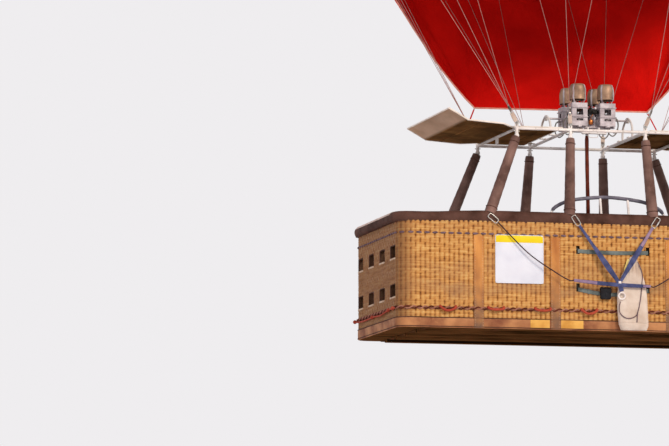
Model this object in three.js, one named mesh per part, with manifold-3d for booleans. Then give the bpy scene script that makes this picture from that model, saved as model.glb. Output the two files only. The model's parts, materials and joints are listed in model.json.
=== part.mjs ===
// Passenger hot air balloon: partitioned wicker basket, padded uprights, load frame with heat
// shields, quad burner, cables, scoop and a gored envelope with a parachute valve.
// Millimetres. X runs along the basket, +Y away from its front, +Z up. The basket is drawn from the
// underside of its floor, and the whole balloon is then lowered to the envelope's centre.
import * as THREE from "three";
import { mergeVertices } from "three/addons/utils/BufferGeometryUtils.js";
import Module from "manifold-3d";

const wasm = await Module();
wasm.setup();

// Driving dimensions
const GAP = 0.3;
const BASKET = { length: 4500, width: 1745, corner: 120, wall: 40, band: 14, floor: 30 };
const RUNNER = { y: [-600, -200, 200, 600], half: 55, inset: 260, height: 32 };
const RIM = { radius: 52, half: 62, height: 1136, over: 34 };
const WALL_TOP = 1073;
const BAND_TOP = 105;
const STRIP = { x: [-1411, -607, 607, 1411], width: 104, proud: 4, top: 935 };
const PARTITION = { x: 607, wall: 36, pad: 42, padLift: 36 };
const STEP = { width: 190, low: [310, 700], height: 128, y: [-650, -217, 217, 650] };
const SLOT = { width: 36, low: [390, 770], height: 82, x: [-370, 370] };
const FRAME = { x: 966, y: 728, inner: 399, z: 2056, tube: 15, socket: 70, eye: 46 };
const UPRIGHT = { footX: 1270, innerFootX: 440, foot: 57, top: 46, rod: 17, socket: 24 };
const SHIELD = { z: 2076, thick: 6, bend: 1003, hinge: 1500, rise: 36, tip: 1700, flap: 1630, lift: 112,
  post: 11 };
const BURNER = { x: 150, y: 175, tray: 2172, bar: 14, axis: 2268, blockTop: 2410,
  canLow: 2448, canTop: 2612 };
const PIN = { radius: 10, bore: 10.5 };
const INLET = { radius: 15, drop: 66, clear: 5 };
const VALVE_BAR = { z: 2102, radius: 17, ends: [-132, 140], arms: [-60, 60] };
const HOOP = { x: 440, halfWidth: 165, rod: 11 };
const MOUTH = { radius: 2800, z: 5060, hem: 30, out: 26, in: 34 };
const CABLE = { radius: 3, ferrule: 14, strap: 120, knot: 180, width: 42 };
const ENVELOPE = { radius: 13600, tangent: 47, flat: 0.785, vent: 3600, wall: 10, gores: 24, bulge: 170 };
const SCOOP = { low: 2530, corner: 38.4, end: 61, turn: 3.9, straightShare: 0.3, margin: 45, thick: 7 };
const PARACHUTE = { radius: 4000, crown: 120 };
const CYLINDER = { radius: 138, height: 930, y: 640, x: [-430, -144, 144, 430] };
const PLACARD = { x: -986, z: 706, width: 500, height: 485, thick: 4 };
const BRIDLE = { hub: [40, 478], ring: [65, 352], width: 46, thick: 5, rope: 6,
  hooks: [-1262, -392, 452, 1262], link: { length: 104, width: 50, rod: 5, z: 1112 } };
const BAG = { depth: 40, puff: 20, clear: 4 };
const RAIL = { y: -700, radius: 12, top: 1380, posts: [-80, 212] };
const HOSE = { radius: 20, steps: 34 };

const degrees = Math.PI / 180;
const at = (x, y, z) => new THREE.Vector3(x, y, z);
const halfLength = BASKET.length / 2;
const halfWidth = BASKET.width / 2;
const wallX = halfLength - BASKET.band;
const wallY = halfWidth - BASKET.band;
const rimX = halfLength - RIM.radius + RIM.over;
const rimY = halfWidth - RIM.radius;
const rimTop = RIM.height + RIM.half;

// Envelope heights that follow from its radii
const tangent = ENVELOPE.tangent * degrees;
const coneLength = (ENVELOPE.radius * Math.cos(tangent) - MOUTH.radius) / Math.sin(tangent);
const equator = MOUTH.z + coneLength * Math.cos(tangent) + ENVELOPE.radius * Math.sin(tangent);
const domeHeight = ENVELOPE.radius * ENVELOPE.flat;
const goreAngle = (2 * Math.PI) / ENVELOPE.gores;

const colours = {
  wicker: [0xb98444, 0.85, 0],
  cane: [0xa9783f, 0.85, 0],
  hide: [0x3a2520, 0.6, 0],
  band: [0xb8803f, 0.7, 0],
  board: [0x3b2517, 0.8, 0],
  white: [0xe9e6e2, 0.4, 0.1],
  steel: [0xb9b6b0, 0.4, 0.8],
  shield: [0x6d665c, 0.45, 0.6],
  cable: [0xd8cfd0, 0.5, 0.3],
  red: [0xb8120f, 0.7, 0],
  deepRed: [0x7d0d10, 0.7, 0],
  webbing: [0x3d4c7c, 0.8, 0],
  canvas: [0xd9cdbf, 0.9, 0],
  sign: [0xf1eee6, 0.5, 0],
  dark: [0x24241f, 0.7, 0],
};

// A closed geometry as a solid, with its faces turned outward.
function solid(geometry) {
  const bare = geometry.clone();
  bare.deleteAttribute("normal");
  bare.deleteAttribute("uv");
  const merged = mergeVertices(bare, 1e-3);
  const places = merged.attributes.position.array;
  const corners = [];
  let sixfold = 0;
  for (let i = 0; i < merged.index.count; i += 3) {
    const [a, b, c] = [0, 1, 2].map((k) => merged.index.getX(i + k));
    if (a === b || b === c || c === a) continue;
    const [p, q, r] = [a, b, c].map((k) => at().fromArray(places, 3 * k));
    sixfold += p.dot(q.cross(r));
    corners.push(a, b, c);
  }
  if (sixfold < 0) corners.reverse();
  const triVerts = new Uint32Array(corners);
  return new wasm.Manifold(new wasm.Mesh({ numProp: 3, vertProperties: places, triVerts }));
}

const join = (pieces) => pieces.map(asSolid).reduce((a, b) => a.add(b));
const asSolid = (piece) => (piece.isBufferGeometry ? solid(piece) : piece);
const cut = (piece, tools) => tools.map(asSolid).reduce((a, b) => a.subtract(b), asSolid(piece));

function box(x0, x1, y0, y1, z0, z1) {
  const g = new THREE.BoxGeometry(x1 - x0, y1 - y0, z1 - z0);
  return g.translate((x0 + x1) / 2, (y0 + y1) / 2, (z0 + z1) / 2);
}

// A round bar between two points, which may taper.
function rod(from, to, radius, endRadius = radius, sides = 10) {
  const axis = to.clone().sub(from);
  const g = new THREE.CylinderGeometry(endRadius, radius, axis.length(), sides);
  g.applyQuaternion(new THREE.Quaternion().setFromUnitVectors(at(0, 1, 0), axis.normalize()));
  const middle = from.clone().add(to).multiplyScalar(0.5);
  return g.translate(middle.x, middle.y, middle.z);
}

// A flat strap between two points, its width across the direction "side".
function strap(from, to, width, thick, side) {
  const along = to.clone().sub(from);
  const across = side.clone().addScaledVector(along, -side.dot(along) / along.lengthSq()).normalize();
  const facing = along.clone().cross(across).normalize();
  const g = new THREE.BoxGeometry(width, thick, along.length());
  g.applyMatrix4(new THREE.Matrix4().makeBasis(across, facing.negate(), along.clone().normalize()));
  const middle = from.clone().add(to).multiplyScalar(0.5);
  return g.translate(middle.x, middle.y, middle.z);
}

// A flat strip folded at its middle point, its width across the level direction "side".
function bentStrip([low, bend, high], width, thick, side) {
  const g = new THREE.BoxGeometry(width, thick, 2, 1, 1, 2);
  const place = g.attributes.position;
  const route = [low, bend, high];
  for (let i = 0; i < place.count; i++) {
    const spot = route[Math.round(place.getZ(i)) + 1].clone();
    spot.addScaledVector(side, place.getX(i));
    place.setXYZ(i, spot.x, spot.y, spot.z + place.getY(i));
  }
  return g;
}

// A bent tube through points, of a round section.
function tube(points, radius, steps, sides = 8) {
  const section = new THREE.Shape();
  for (let i = 0; i < sides; i++) {
    const turned = (i / sides) * 2 * Math.PI;
    const place = [radius * Math.cos(turned), radius * Math.sin(turned)];
    if (i === 0) section.moveTo(...place);
    else section.lineTo(...place);
  }
  const extrudePath = new THREE.CatmullRomCurve3(points.map((p) => at(...p)));
  return new THREE.ExtrudeGeometry(section, { steps, extrudePath, bevelEnabled: false });
}

function plate(outline, z0, z1) {
  const shape = new THREE.Shape(outline.map(([x, y]) => new THREE.Vector2(x, y)));
  return new THREE.ExtrudeGeometry(shape, { depth: z1 - z0, bevelEnabled: false }).translate(0, 0, z0);
}

// A rounded rectangle about the centre, as a shape or as the hole of one.
function rounded(x, y, corner, Kind = THREE.Shape) {
  const shape = new Kind();
  // columns: centre x, centre y, start angle in quarter turns
  const corners = [[x - corner, y - corner, 0], [corner - x, y - corner, 1],
    [corner - x, corner - y, 2], [x - corner, corner - y, 3]];
  for (const [cx, cy, quarter] of corners) {
    const start = (quarter * Math.PI) / 2;
    shape.absarc(cx, cy, corner, start, start + Math.PI / 2, false);
  }
  return shape;
}

function hoopShape(x, y, corner, wall) {
  const shape = rounded(x, y, corner);
  shape.holes.push(rounded(x - wall, y - wall, Math.max(corner - wall, 8), THREE.Path));
  return shape;
}

// A closed sheet over a grid, its two faces cut along the same diagonals. "place" gives the point
// for a share of the width, a share of the height, and the face, 0 inside and 1 outside.
function sheet(columns, rows, place) {
  const points = [];
  const index = [];
  const vertex = (i, j, face) => (face * (rows + 1) + j) * (columns + 1) + i;
  const quad = (a, b, c, d) => index.push(a, b, c, a, c, d);
  for (const face of [0, 1])
    for (let j = 0; j <= rows; j++)
      for (let i = 0; i <= columns; i++) points.push(...place(i / columns, j / rows, face));
  for (let j = 0; j < rows; j++)
    for (let i = 0; i < columns; i++) {
      const [a, b, c, d] = [[i, j], [i + 1, j], [i + 1, j + 1], [i, j + 1]];
      quad(...[a, b, c, d].map((corner) => vertex(...corner, 1)));
      const [e, f, g, h] = [a, b, c, d].map((corner) => vertex(...corner, 0));
      index.push(e, g, f, e, h, g);
    }
  for (let i = 0; i < columns; i++) {
    quad(vertex(i, 0, 0), vertex(i + 1, 0, 0), vertex(i + 1, 0, 1), vertex(i, 0, 1));
    quad(vertex(i, rows, 1), vertex(i + 1, rows, 1), vertex(i + 1, rows, 0), vertex(i, rows, 0));
  }
  for (let j = 0; j < rows; j++) {
    quad(vertex(0, j, 1), vertex(0, j + 1, 1), vertex(0, j + 1, 0), vertex(0, j, 0));
    quad(vertex(columns, j, 0), vertex(columns, j + 1, 0), vertex(columns, j + 1, 1),
      vertex(columns, j, 1));
  }
  const g = new THREE.BufferGeometry().setIndex(index);
  return g.setAttribute("position", new THREE.Float32BufferAttribute(points, 3));
}

const extrude = (shape, z0, z1, curveSegments = 4) =>
  new THREE.ExtrudeGeometry(shape, { depth: z1 - z0, bevelEnabled: false, curveSegments })
    .translate(0, 0, z0);

// A profile of [radius, height] turned about the Z axis. One that leaves the axis is a closed ring.
function turn(profile, segments, start = 0) {
  const closed = profile[0][0] === 0 ? profile : [...profile, profile[0]];
  const points = closed.map(([r, z]) => new THREE.Vector2(r, z));
  return new THREE.LatheGeometry(points, segments, start).rotateX(Math.PI / 2);
}

const balloon = new THREE.Group();
balloon.position.z = -equator;

// A union can leave a sliver without volume beside the piece, so the largest body is kept.
function add(name, piece, colour) {
  const bodies = asSolid(piece).decompose().sort((a, b) => b.volume() - a.volume());
  const made = bodies[0].getMesh();
  const g = new THREE.BufferGeometry();
  g.setAttribute("position", new THREE.BufferAttribute(made.vertProperties, 3));
  g.setIndex(new THREE.BufferAttribute(made.triVerts, 1));
  g.computeVertexNormals();
  const [color, roughness, metalness] = colours[colour];
  const mesh = new THREE.Mesh(g, new THREE.MeshStandardMaterial({ color, roughness, metalness }));
  mesh.name = name;
  balloon.add(mesh);
}

const sides = [["left", -1], ["right", 1]];
const faces = [["front", -1], ["back", 1]];

// Basket: a woven wall ring with step holes at both ends and strap slots in the front
function basket() {
  const holes = [];
  for (const low of STEP.low)
    for (const y of STEP.y)
      for (const [, s] of sides) {
        const x = s * wallX;
        const half = STEP.width / 2;
        holes.push(box(x - 60, x + 60, y - half, y + half, low, low + STEP.height));
      }
  for (const low of SLOT.low)
    for (const x of SLOT.x) {
      const half = SLOT.width / 2;
      holes.push(box(x - half, x + half, -wallY - 60, -wallY + 60, low, low + SLOT.height));
    }
  const floorTop = BASKET.floor;
  const ring = extrude(hoopShape(wallX, wallY, BASKET.corner, BASKET.wall), floorTop + GAP, WALL_TOP);
  add("basket_wall", cut(ring, holes), "wicker");

  // The skirting band and the vertical strips stand on the wall's outer face
  const pieces = [
    extrude(hoopShape(halfLength, halfWidth, BASKET.corner + 10, BASKET.band - GAP), 0, BAND_TOP)];
  for (const x of STRIP.x)
    for (const [, s] of faces) {
      const near = s * (halfWidth - BASKET.band + GAP);
      const far = s * (halfWidth + STRIP.proud);
      const half = STRIP.width / 2;
      pieces.push(box(x - half, x + half, Math.min(near, far), Math.max(near, far), 2, STRIP.top));
    }
  add("skirting_band", join(pieces), "band");

  const floor = extrude(rounded(wallX - GAP, wallY - GAP, BASKET.corner), 0, floorTop);
  const runnerEnd = halfLength - RUNNER.inset;
  const runners = RUNNER.y.map((y) =>
    box(-runnerEnd, runnerEnd, y - RUNNER.half, y + RUNNER.half, -RUNNER.height, 2));
  add("floor_with_runners", join([floor, ...runners]), "board");

  const inner = RIM.radius * 0.38;
  const upright = RIM.half * 0.38;
  const roll = new THREE.ExtrudeGeometry(hoopShape(rimX + inner, rimY + inner, 100, 2 * inner), {
    depth: 2 * upright, bevelThickness: RIM.half - upright, bevelSize: RIM.radius - inner,
    bevelSegments: 2, curveSegments: 4,
  });
  add("rim_roll", roll.translate(0, 0, RIM.height - upright), "hide");

  const reach = wallY - BASKET.wall - GAP;
  const padReach = rimY - RIM.radius - GAP;
  const half = PARTITION.wall / 2;
  for (const [side, s] of sides) {
    const x = s * PARTITION.x;
    const wallEnd = s * (wallX - BASKET.wall - GAP);
    const wallStart = x + s * (half + GAP);
    const [x0, x1] = [wallStart, wallEnd].sort((a, b) => a - b);
    const low = floorTop + GAP;
    const padZ = WALL_TOP + PARTITION.padLift;
    const pad = PARTITION.pad;
    const cross = [box(x - half, x + half, -reach, reach, low, WALL_TOP),
      rod(at(x, -padReach, padZ), at(x, padReach, padZ), pad, pad, 8)];
    add(`cross_partition_${side}`, join(cross), "cane");
    const padStart = at(x + s * (pad + GAP), 0, padZ);
    const padEnd = at(s * (rimX - RIM.radius - GAP), 0, padZ);
    const long = [box(x0, x1, -half, half, low, WALL_TOP), rod(padStart, padEnd, pad, pad, 8)];
    add(`long_partition_${side}`, join(long), "cane");
  }
}

// Uprights: leaning padded poles from the rim to the sockets under the load frame
function uprights() {
  // columns: name, x at the rim, x at the frame
  const posts = [["outer", UPRIGHT.footX, FRAME.x], ["inner", UPRIGHT.innerFootX, FRAME.inner]];
  const top = FRAME.z - FRAME.socket - GAP;
  for (const [face, f] of faces)
    for (const [side, s] of sides)
      for (const [kind, footX, headX] of posts) {
        const foot = at(s * footX, f * rimY, rimTop);
        const head = at(s * headX, f * FRAME.y, top);
        const lean = head.clone().sub(foot).normalize();
        const level = Math.hypot(lean.x, lean.y);
        const rise = (30 * level) / lean.z + GAP;
        const high = head.distanceTo(foot) - (UPRIGHT.rod * level) / lean.z;
        const post = turn([[0, rise], [30, rise], [UPRIGHT.foot, rise + 26],
          [UPRIGHT.top, high * 0.87], [UPRIGHT.rod, high * 0.87 + 10], [UPRIGHT.rod, high], [0, high]], 10);
        post.applyQuaternion(new THREE.Quaternion().setFromUnitVectors(at(0, 0, 1), lean));
        add(`upright_${face}_${kind}_${side}`, post.translate(foot.x, foot.y, foot.z), "hide");
      }
}

// Load frame: thin tubes, a socket under and an eye plate over each upright
function loadFrame() {
  const { x, y, z, inner, tube: r } = FRAME;
  const pieces = [];
  for (const [, s] of faces) pieces.push(rod(at(-x - r, s * y, z), at(x + r, s * y, z), r));
  for (const across of [-x, -inner, inner, x])
    pieces.push(rod(at(across, -y, z), at(across, y, z), r));
  for (const [, s] of faces)
    for (const across of [-x, -inner, inner, x]) {
      const place = at(across, s * y, z);
      pieces.push(rod(place, at(across, s * y, z - FRAME.socket), UPRIGHT.socket, UPRIGHT.socket, 10));
      pieces.push(box(across - 22, across + 22, s * y - 5, s * y + 5, z, z + FRAME.eye));
    }
  // restraint lugs under the end tubes
  for (const [, s] of sides) {
    const lug = s * x;
    pieces.push(box(lug - 6, lug + 6, -40, 40, z - FRAME.socket, z));
  }
  add("load_frame", join(pieces), "white");

  // columns: x, y of the shield's inner and outer panel, for the right-hand side
  const { bend, hinge, rise } = SHIELD;
  const inside = [[474, -690], [925, -690], [925, -655], [bend + 2, -655], [bend + 2, 655], [925, 655],
    [925, 690], [474, 690]];
  const outside = [[bend, -655], [1130, -815], [hinge, -815], [hinge, 815], [1130, 815], [bend, 655]];
  for (const [side, s] of sides) {
    const low = SHIELD.z;
    const middle = low + SHIELD.thick / 2;
    const [near, far] = [inside, outside].map((outline) => {
      const points = outline.map(([px, py]) => [s * px, py]);
      return plate(s < 0 ? points.reverse() : points, low, low + SHIELD.thick);
    });
    const place = far.attributes.position;
    for (let i = 0; i < place.count; i++)
      place.setZ(i, place.getZ(i) + ((Math.abs(place.getX(i)) - bend) / (hinge - bend)) * rise);
    const fold = middle + rise;
    const flap = strap(at(s * (hinge - 6), 0, fold), at(s * SHIELD.tip, 0, fold + SHIELD.lift), SHIELD.flap,
      SHIELD.thick, at(0, 1, 0));
    const seats = [[FRAME.x, -400], [FRAME.x, 400], [FRAME.inner + 12, -560], [FRAME.inner + 12, 560]];
    const posts = seats.map(([px, py]) =>
      rod(at(s * px, py, z + r + GAP), at(s * px, py, middle), SHIELD.post, SHIELD.post, 8));
    const feet = posts.slice(2).map((_, i) =>
      box(Math.min(s * 395, s * 490), Math.max(s * 395, s * 490), -575 + i * 1120, -545 + i * 1120,
        low - 4, middle));
    add(`heat_shield_${side}`, join([near, far, flap, ...posts, ...feet]), "shield");
  }

  // Arched burner cradles on the inner cross tubes
  const foot = z + r + GAP;
  for (const [side, s] of sides) {
    const hx = s * HOOP.x;
    const w = HOOP.halfWidth;
    const arch = tube([[hx, -w, foot + 4], [hx, -w, foot + 90], [hx, -w * 0.72, BURNER.axis - 30],
      [hx, 0, BURNER.axis + 24], [hx, w * 0.72, BURNER.axis - 30], [hx, w, foot + 90],
      [hx, w, foot + 4]], HOOP.rod, 16, 6);
    const hub = rod(at(hx - 16, 0, BURNER.axis), at(hx + 16, 0, BURNER.axis), 24, 24, 12);
    const bore = rod(at(hx - 30, 0, BURNER.axis), at(hx + 30, 0, BURNER.axis), PIN.bore, PIN.bore, 16);
    const shoes = [-w, w].map((y0) =>
      box(Math.min(hx, s * inner) - 16, Math.max(hx, s * inner) + 16, y0 - 22, y0 + 22, foot, foot + 8));
    add(`burner_cradle_${side}`, cut(join([arch, hub, ...shoes]), [bore]), "white");
  }
}

// Quad burner on trunnion pins, with a valve bar and a steel can over each jet block
function burner() {
  const { x, y, tray, bar: thick, axis, blockTop, canLow, canTop } = BURNER;
  const bars = [];
  for (const s of [-1, 1]) {
    bars.push(box(-x - 95, x + 95, s * y - 18, s * y + 18, tray - thick, tray));
    bars.push(box(s * x - 18, s * x + 18, -y - 90, y + 90, tray - thick, tray));
    const [x0, x1] = [s * (x + 70), s * (x + 88)].sort((a, b) => a - b);
    bars.push(box(x0, x1, -32, 32, tray - thick, axis + 34));
    bars.push(box(Math.min(x0, s * x), Math.max(x1, s * x), -24, 24, tray - thick, tray));
    bars.push(rod(at(s * (x + 80), 0, axis), at(s * (HOOP.x + 24), 0, axis), PIN.radius, PIN.radius, 24));
  }
  bars.push(rod(at(0, 0, tray), at(0, 0, tray - INLET.drop), INLET.radius, INLET.radius, 12));
  bars.push(box(-x, x, -24, 24, tray - thick, tray));
  add("burner_tray", join(bars), "steel");

  let number = 1;
  for (const sy of [-1, 1])
    for (const sx of [-1, 1]) {
      const cx = sx * x;
      const cy = sy * y;
      const low = tray + GAP;
      const body = box(cx - 82, cx + 82, cy - 78, cy + 78, low, blockTop);
      const windows = [[low + 112, low + 176], [low + 52, low + 74]].flatMap(([z0, z1]) => [
        box(cx - 36, cx + 36, cy - 90, cy + 90, z0, z1),
        box(cx - 90, cx + 90, cy - 36, cy + 36, z0, z1)]);

      const legs = [-1, 1].flatMap((lx) => [-1, 1].map((ly) =>
        rod(at(cx + lx * 48, cy + ly * 48, blockTop - 8), at(cx + lx * 48, cy + ly * 48, canLow + 8),
          7, 7, 5)));
      const shell = turn([[50, canLow], [86, canLow], [88, canLow + 90], [78, canTop - 22],
        [62, canTop], [54, canTop], [70, canTop - 26], [78, canLow + 9], [50, canLow + 9]], 14);
      add(`burner_unit_${number}`, join([cut(body, windows), shell.translate(cx, cy, 0), ...legs]),
        "steel");
      number += 1;
    }

  const barY = -y - 60;
  const [start, end] = VALVE_BAR.ends.map((bx) => at(bx, barY, VALVE_BAR.z));
  const bar = rod(start, end, VALVE_BAR.radius, VALVE_BAR.radius, 12);
  const under = tray - thick - GAP;
  const arms = VALVE_BAR.arms.flatMap((ax) => [
    box(ax - 8, ax + 8, barY - 8, barY + 8, VALVE_BAR.z, under),
    box(ax - 8, ax + 8, barY - 8, -y + 14, under - 10, under)]);
  add("valve_bar", join([bar, ...arms]), "white");
}

// Fuel: upright cylinders behind the pilot and the hose that rises to the burner
function fuel() {
  const low = BASKET.floor + GAP;
  const { radius, height, y } = CYLINDER;
  CYLINDER.x.forEach((x, i) => {
    const shell = turn([[0, low], [radius - 20, low], [radius, low + 30], [radius, low + height - 130],
      [radius * 0.75, low + height - 50], [40, low + height - 30], [40, low + height], [0, low + height]],
    12).translate(x, y, 0);
    const collar = turn([[92, low + height - 60], [98, low + height - 60], [98, low + height + 36],
      [92, low + height + 36]], 12).translate(x, y, 0);
    add(`fuel_cylinder_${i + 1}`, join([shell, collar]), "steel");
  });
  const topZ = low + height;
  const hoseTop = BURNER.tray - INLET.drop - INLET.clear;
  add("fuel_hose", tube([[0, 0, hoseTop], [0, 0, hoseTop - 160], [3, 4, 1760], [8, 12, 1580],
    [16, 28, 1440], [26, 56, 1330], [46, 120, 1248], [72, 215, 1210], [100, 330, 1204], [124, 452, 1196],
    [139, 562, 1156], [144, 621, 1084], [144, 640, topZ + 50], [144, 640, topZ + GAP]],
  HOSE.radius, HOSE.steps), "hide");
}

// Suspension: eight points, each with a strap, a karabiner and three cables to the mouth
function suspension() {
  // columns: name, x on the frame, first cable azimuth from the nearer long face in degrees
  const points = [["inner", FRAME.inner, 7.5], ["outer", FRAME.x, 52.5]];
  const reach = MOUTH.radius - MOUTH.out;
  for (const [face, f] of faces)
    for (const [side, s] of sides)
      for (const [kind, px, first] of points) {
        const ends = [0, 15, 30].map((more) => {
          const turned = (first + more) * degrees;
          return at(s * reach * Math.sin(turned), f * reach * Math.cos(turned), MOUTH.z - 14);
        });
        const foot = at(s * px, f * FRAME.y, FRAME.z + FRAME.eye + GAP + 4);
        const along = ends[1].clone().sub(foot).normalize();
        const up = (far) => foot.clone().addScaledVector(along, far);
        const knot = up(CABLE.knot);
        const pieces = [strap(up(14), up(CABLE.strap), CABLE.width, 7, at(1, 0, 0)),
          rod(up(CABLE.strap - 10), up(CABLE.knot + 50), 11, CABLE.ferrule, 6)];
        pieces.push(box(foot.x - 20, foot.x + 20, foot.y - 5, foot.y + 5, foot.z - 4, foot.z + 24));
        for (const end of ends) {
          pieces.push(rod(knot, end, CABLE.radius, CABLE.radius, 4));
          pieces.push(box(end.x - 5, end.x + 5, end.y - 5, end.y + 5, end.z - 6, MOUTH.z - GAP));
        }
        add(`suspension_${face}_${kind}_${side}`, join(pieces), "cable");
      }
}

// Scoop: one bent sheet from the hem down to a straight lower edge, open at the front. It stays
// outside the cone of the cables, and its side edges climb that cone steeper and steeper. The whole
// hangs a little turned toward +X.
function scoop() {
  const frameReach = Math.hypot(FRAME.x, FRAME.y);
  const hemReach = MOUTH.radius + 20;
  const hemZ = MOUTH.z - GAP;
  const cone = (z) => {
    const share = (z - FRAME.z) / (hemZ - FRAME.z);
    return frameReach + (MOUTH.radius - frameReach) * share + SCOOP.margin;
  };
  const corner = SCOOP.corner * degrees;
  const straightY = cone(SCOOP.low) * Math.cos(corner);
  const place = (share, v, face) => {
    const u = 2 * share - 1;
    const climb = Math.max(0, (Math.abs(u) - SCOOP.straightShare) / (1 - SCOOP.straightShare)) * 0.97;
    const straight = Math.min(1, Math.abs(u) / SCOOP.straightShare);
    const spread = (SCOOP.end - SCOOP.corner) * degrees * (1 - (1 - climb) ** 4);
    const azimuth = corner * straight + spread;
    const edgeZ = SCOOP.low + (hemZ - SCOOP.low) * climb;
    const edgeReach = climb > 0 ? cone(edgeZ) : straightY / Math.cos(azimuth);
    const billow = 0.05 * (hemZ - edgeZ) * Math.sin(Math.PI * v);
    const reach = edgeReach + (hemReach - edgeReach) * v + billow + face * SCOOP.thick;
    const bearing = Math.sign(u) * azimuth + SCOOP.turn * degrees;
    return [reach * Math.sin(bearing), reach * Math.cos(bearing), edgeZ + (hemZ - edgeZ) * v];
  };
  add("scoop", sheet(24, 6, place), "red");
}

// Envelope: tiers of gored panels from the hemmed mouth to the vent, bulged between the load tapes
function envelope() {
  const rows = [];
  const coneSteps = 3;
  for (let i = 0; i <= coneSteps; i++) {
    const along = (i / coneSteps) * coneLength;
    rows.push([MOUTH.radius + along * Math.sin(tangent), MOUTH.z + along * Math.cos(tangent), tangent]);
  }
  for (const share of [0.66, 0.33, 0]) {
    const below = tangent * share;
    const { radius } = ENVELOPE;
    rows.push([radius * Math.cos(below), equator - radius * Math.sin(below), below]);
  }
  const ventAngle = Math.acos(ENVELOPE.vent / ENVELOPE.radius);
  const domeSteps = 7;
  for (let i = 1; i <= domeSteps; i++) {
    const above = (i / domeSteps) * ventAngle;
    const slope = Math.atan2(domeHeight * Math.cos(above), ENVELOPE.radius * Math.sin(above));
    rows.push([ENVELOPE.radius * Math.cos(above), equator + domeHeight * Math.sin(above),
      slope - Math.PI / 2]);
  }
  rows[0][1] += MOUTH.hem;
  const hem = MOUTH.radius + MOUTH.out;
  const top = rows.length - 1;
  // columns: name, first row, last row
  const tiers = [["lower", 0, 3], ["middle", 3, 6], ["upper", 6, 9], ["crown", 9, top]];
  for (const [name, first, last] of tiers) {
    const outer = first ? [] : [[hem, MOUTH.z], [hem, MOUTH.z + MOUTH.hem]];
    const innerSide = first ? [] : [[MOUTH.radius - MOUTH.in, MOUTH.z]];
    // columns of a row: radius, height, lean of the skin outward from upright
    for (const [i, [r, z, lean]] of rows.entries()) {
      if (i < Math.max(first, 1) || i > last) continue;
      const ease = (i === first ? GAP / 2 : 0) - (i === last && i < top ? GAP / 2 : 0);
      const [rowR, rowZ] = [r + ease * Math.sin(lean), z + ease * Math.cos(lean)];
      outer.push([rowR, rowZ]);
      innerSide.push([rowR - ENVELOPE.wall * Math.cos(lean), rowZ + ENVELOPE.wall * Math.sin(lean)]);
    }
    const g = turn([...outer, ...innerSide.reverse()], ENVELOPE.gores * 2, goreAngle / 2);
    const place = g.attributes.position;
    for (let i = 0; i < place.count; i++) {
      const [x, y, z] = [place.getX(i), place.getY(i), place.getZ(i)];
      const row = rows.findIndex((r) => Math.abs(r[1] - z) < 12);
      const share = Math.sqrt(Math.max(0, Math.sin((Math.PI * Math.max(row, 0)) / top)));
      const azimuth = Math.atan2(x, -y) / goreAngle - 0.5;
      const across = azimuth - Math.floor(azimuth + 1e-6);
      const out = ENVELOPE.bulge * share * 4 * across * (1 - across);
      const r = Math.hypot(x, y);
      place.setXYZ(i, (x * (r + out)) / r, (y * (r + out)) / r, z);
    }
    add(`envelope_${name}`, g, "red");
  }

  // The parachute closes the vent from below, on a line parallel to the skin's last facet
  const [last, edge] = rows.slice(-2);
  const slope = (edge[1] - last[1]) / (last[0] - edge[0]);
  const drop = ENVELOPE.wall + 0.9;
  const seat = (r) => edge[1] + slope * (edge[0] - r) - drop;
  const { radius, crown } = PARACHUTE;
  const lip = ENVELOPE.vent - 40;
  const skin = [[0, seat(lip) + crown], [lip / 2, seat(lip) + crown * 0.8], [lip, seat(lip)],
    [radius, seat(radius)]];
  const under = skin.map(([r, z]) => [r, z - ENVELOPE.wall]).reverse();
  add("parachute_valve", turn([...skin, ...under], ENVELOPE.gores * 2, goreAngle / 2), "deepRed");

  // Load tapes run on over the vent to the crown ring
  const ringZ = edge[1] + 260;
  const pieces = [new THREE.TorusGeometry(300, 22, 4, 24).translate(0, 0, ringZ)];
  for (let i = 0; i < ENVELOPE.gores; i++) {
    const turned = (i + 0.5) * goreAngle;
    const [sx, sy] = [Math.sin(turned), -Math.cos(turned)];
    const spot = (r, z) => at(r * sx, r * sy, z);
    const lift = 4.7;
    const low = spot(ENVELOPE.vent + 300, edge[1] - slope * 300 + lift);
    const bend = spot(ENVELOPE.vent, edge[1] + lift);
    pieces.push(bentStrip([low, bend, spot(300, ringZ)], 26, 8, at(-sy, sx, 0)));
  }
  add("crown_ring_with_tapes", join(pieces), "cable");
}

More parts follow.
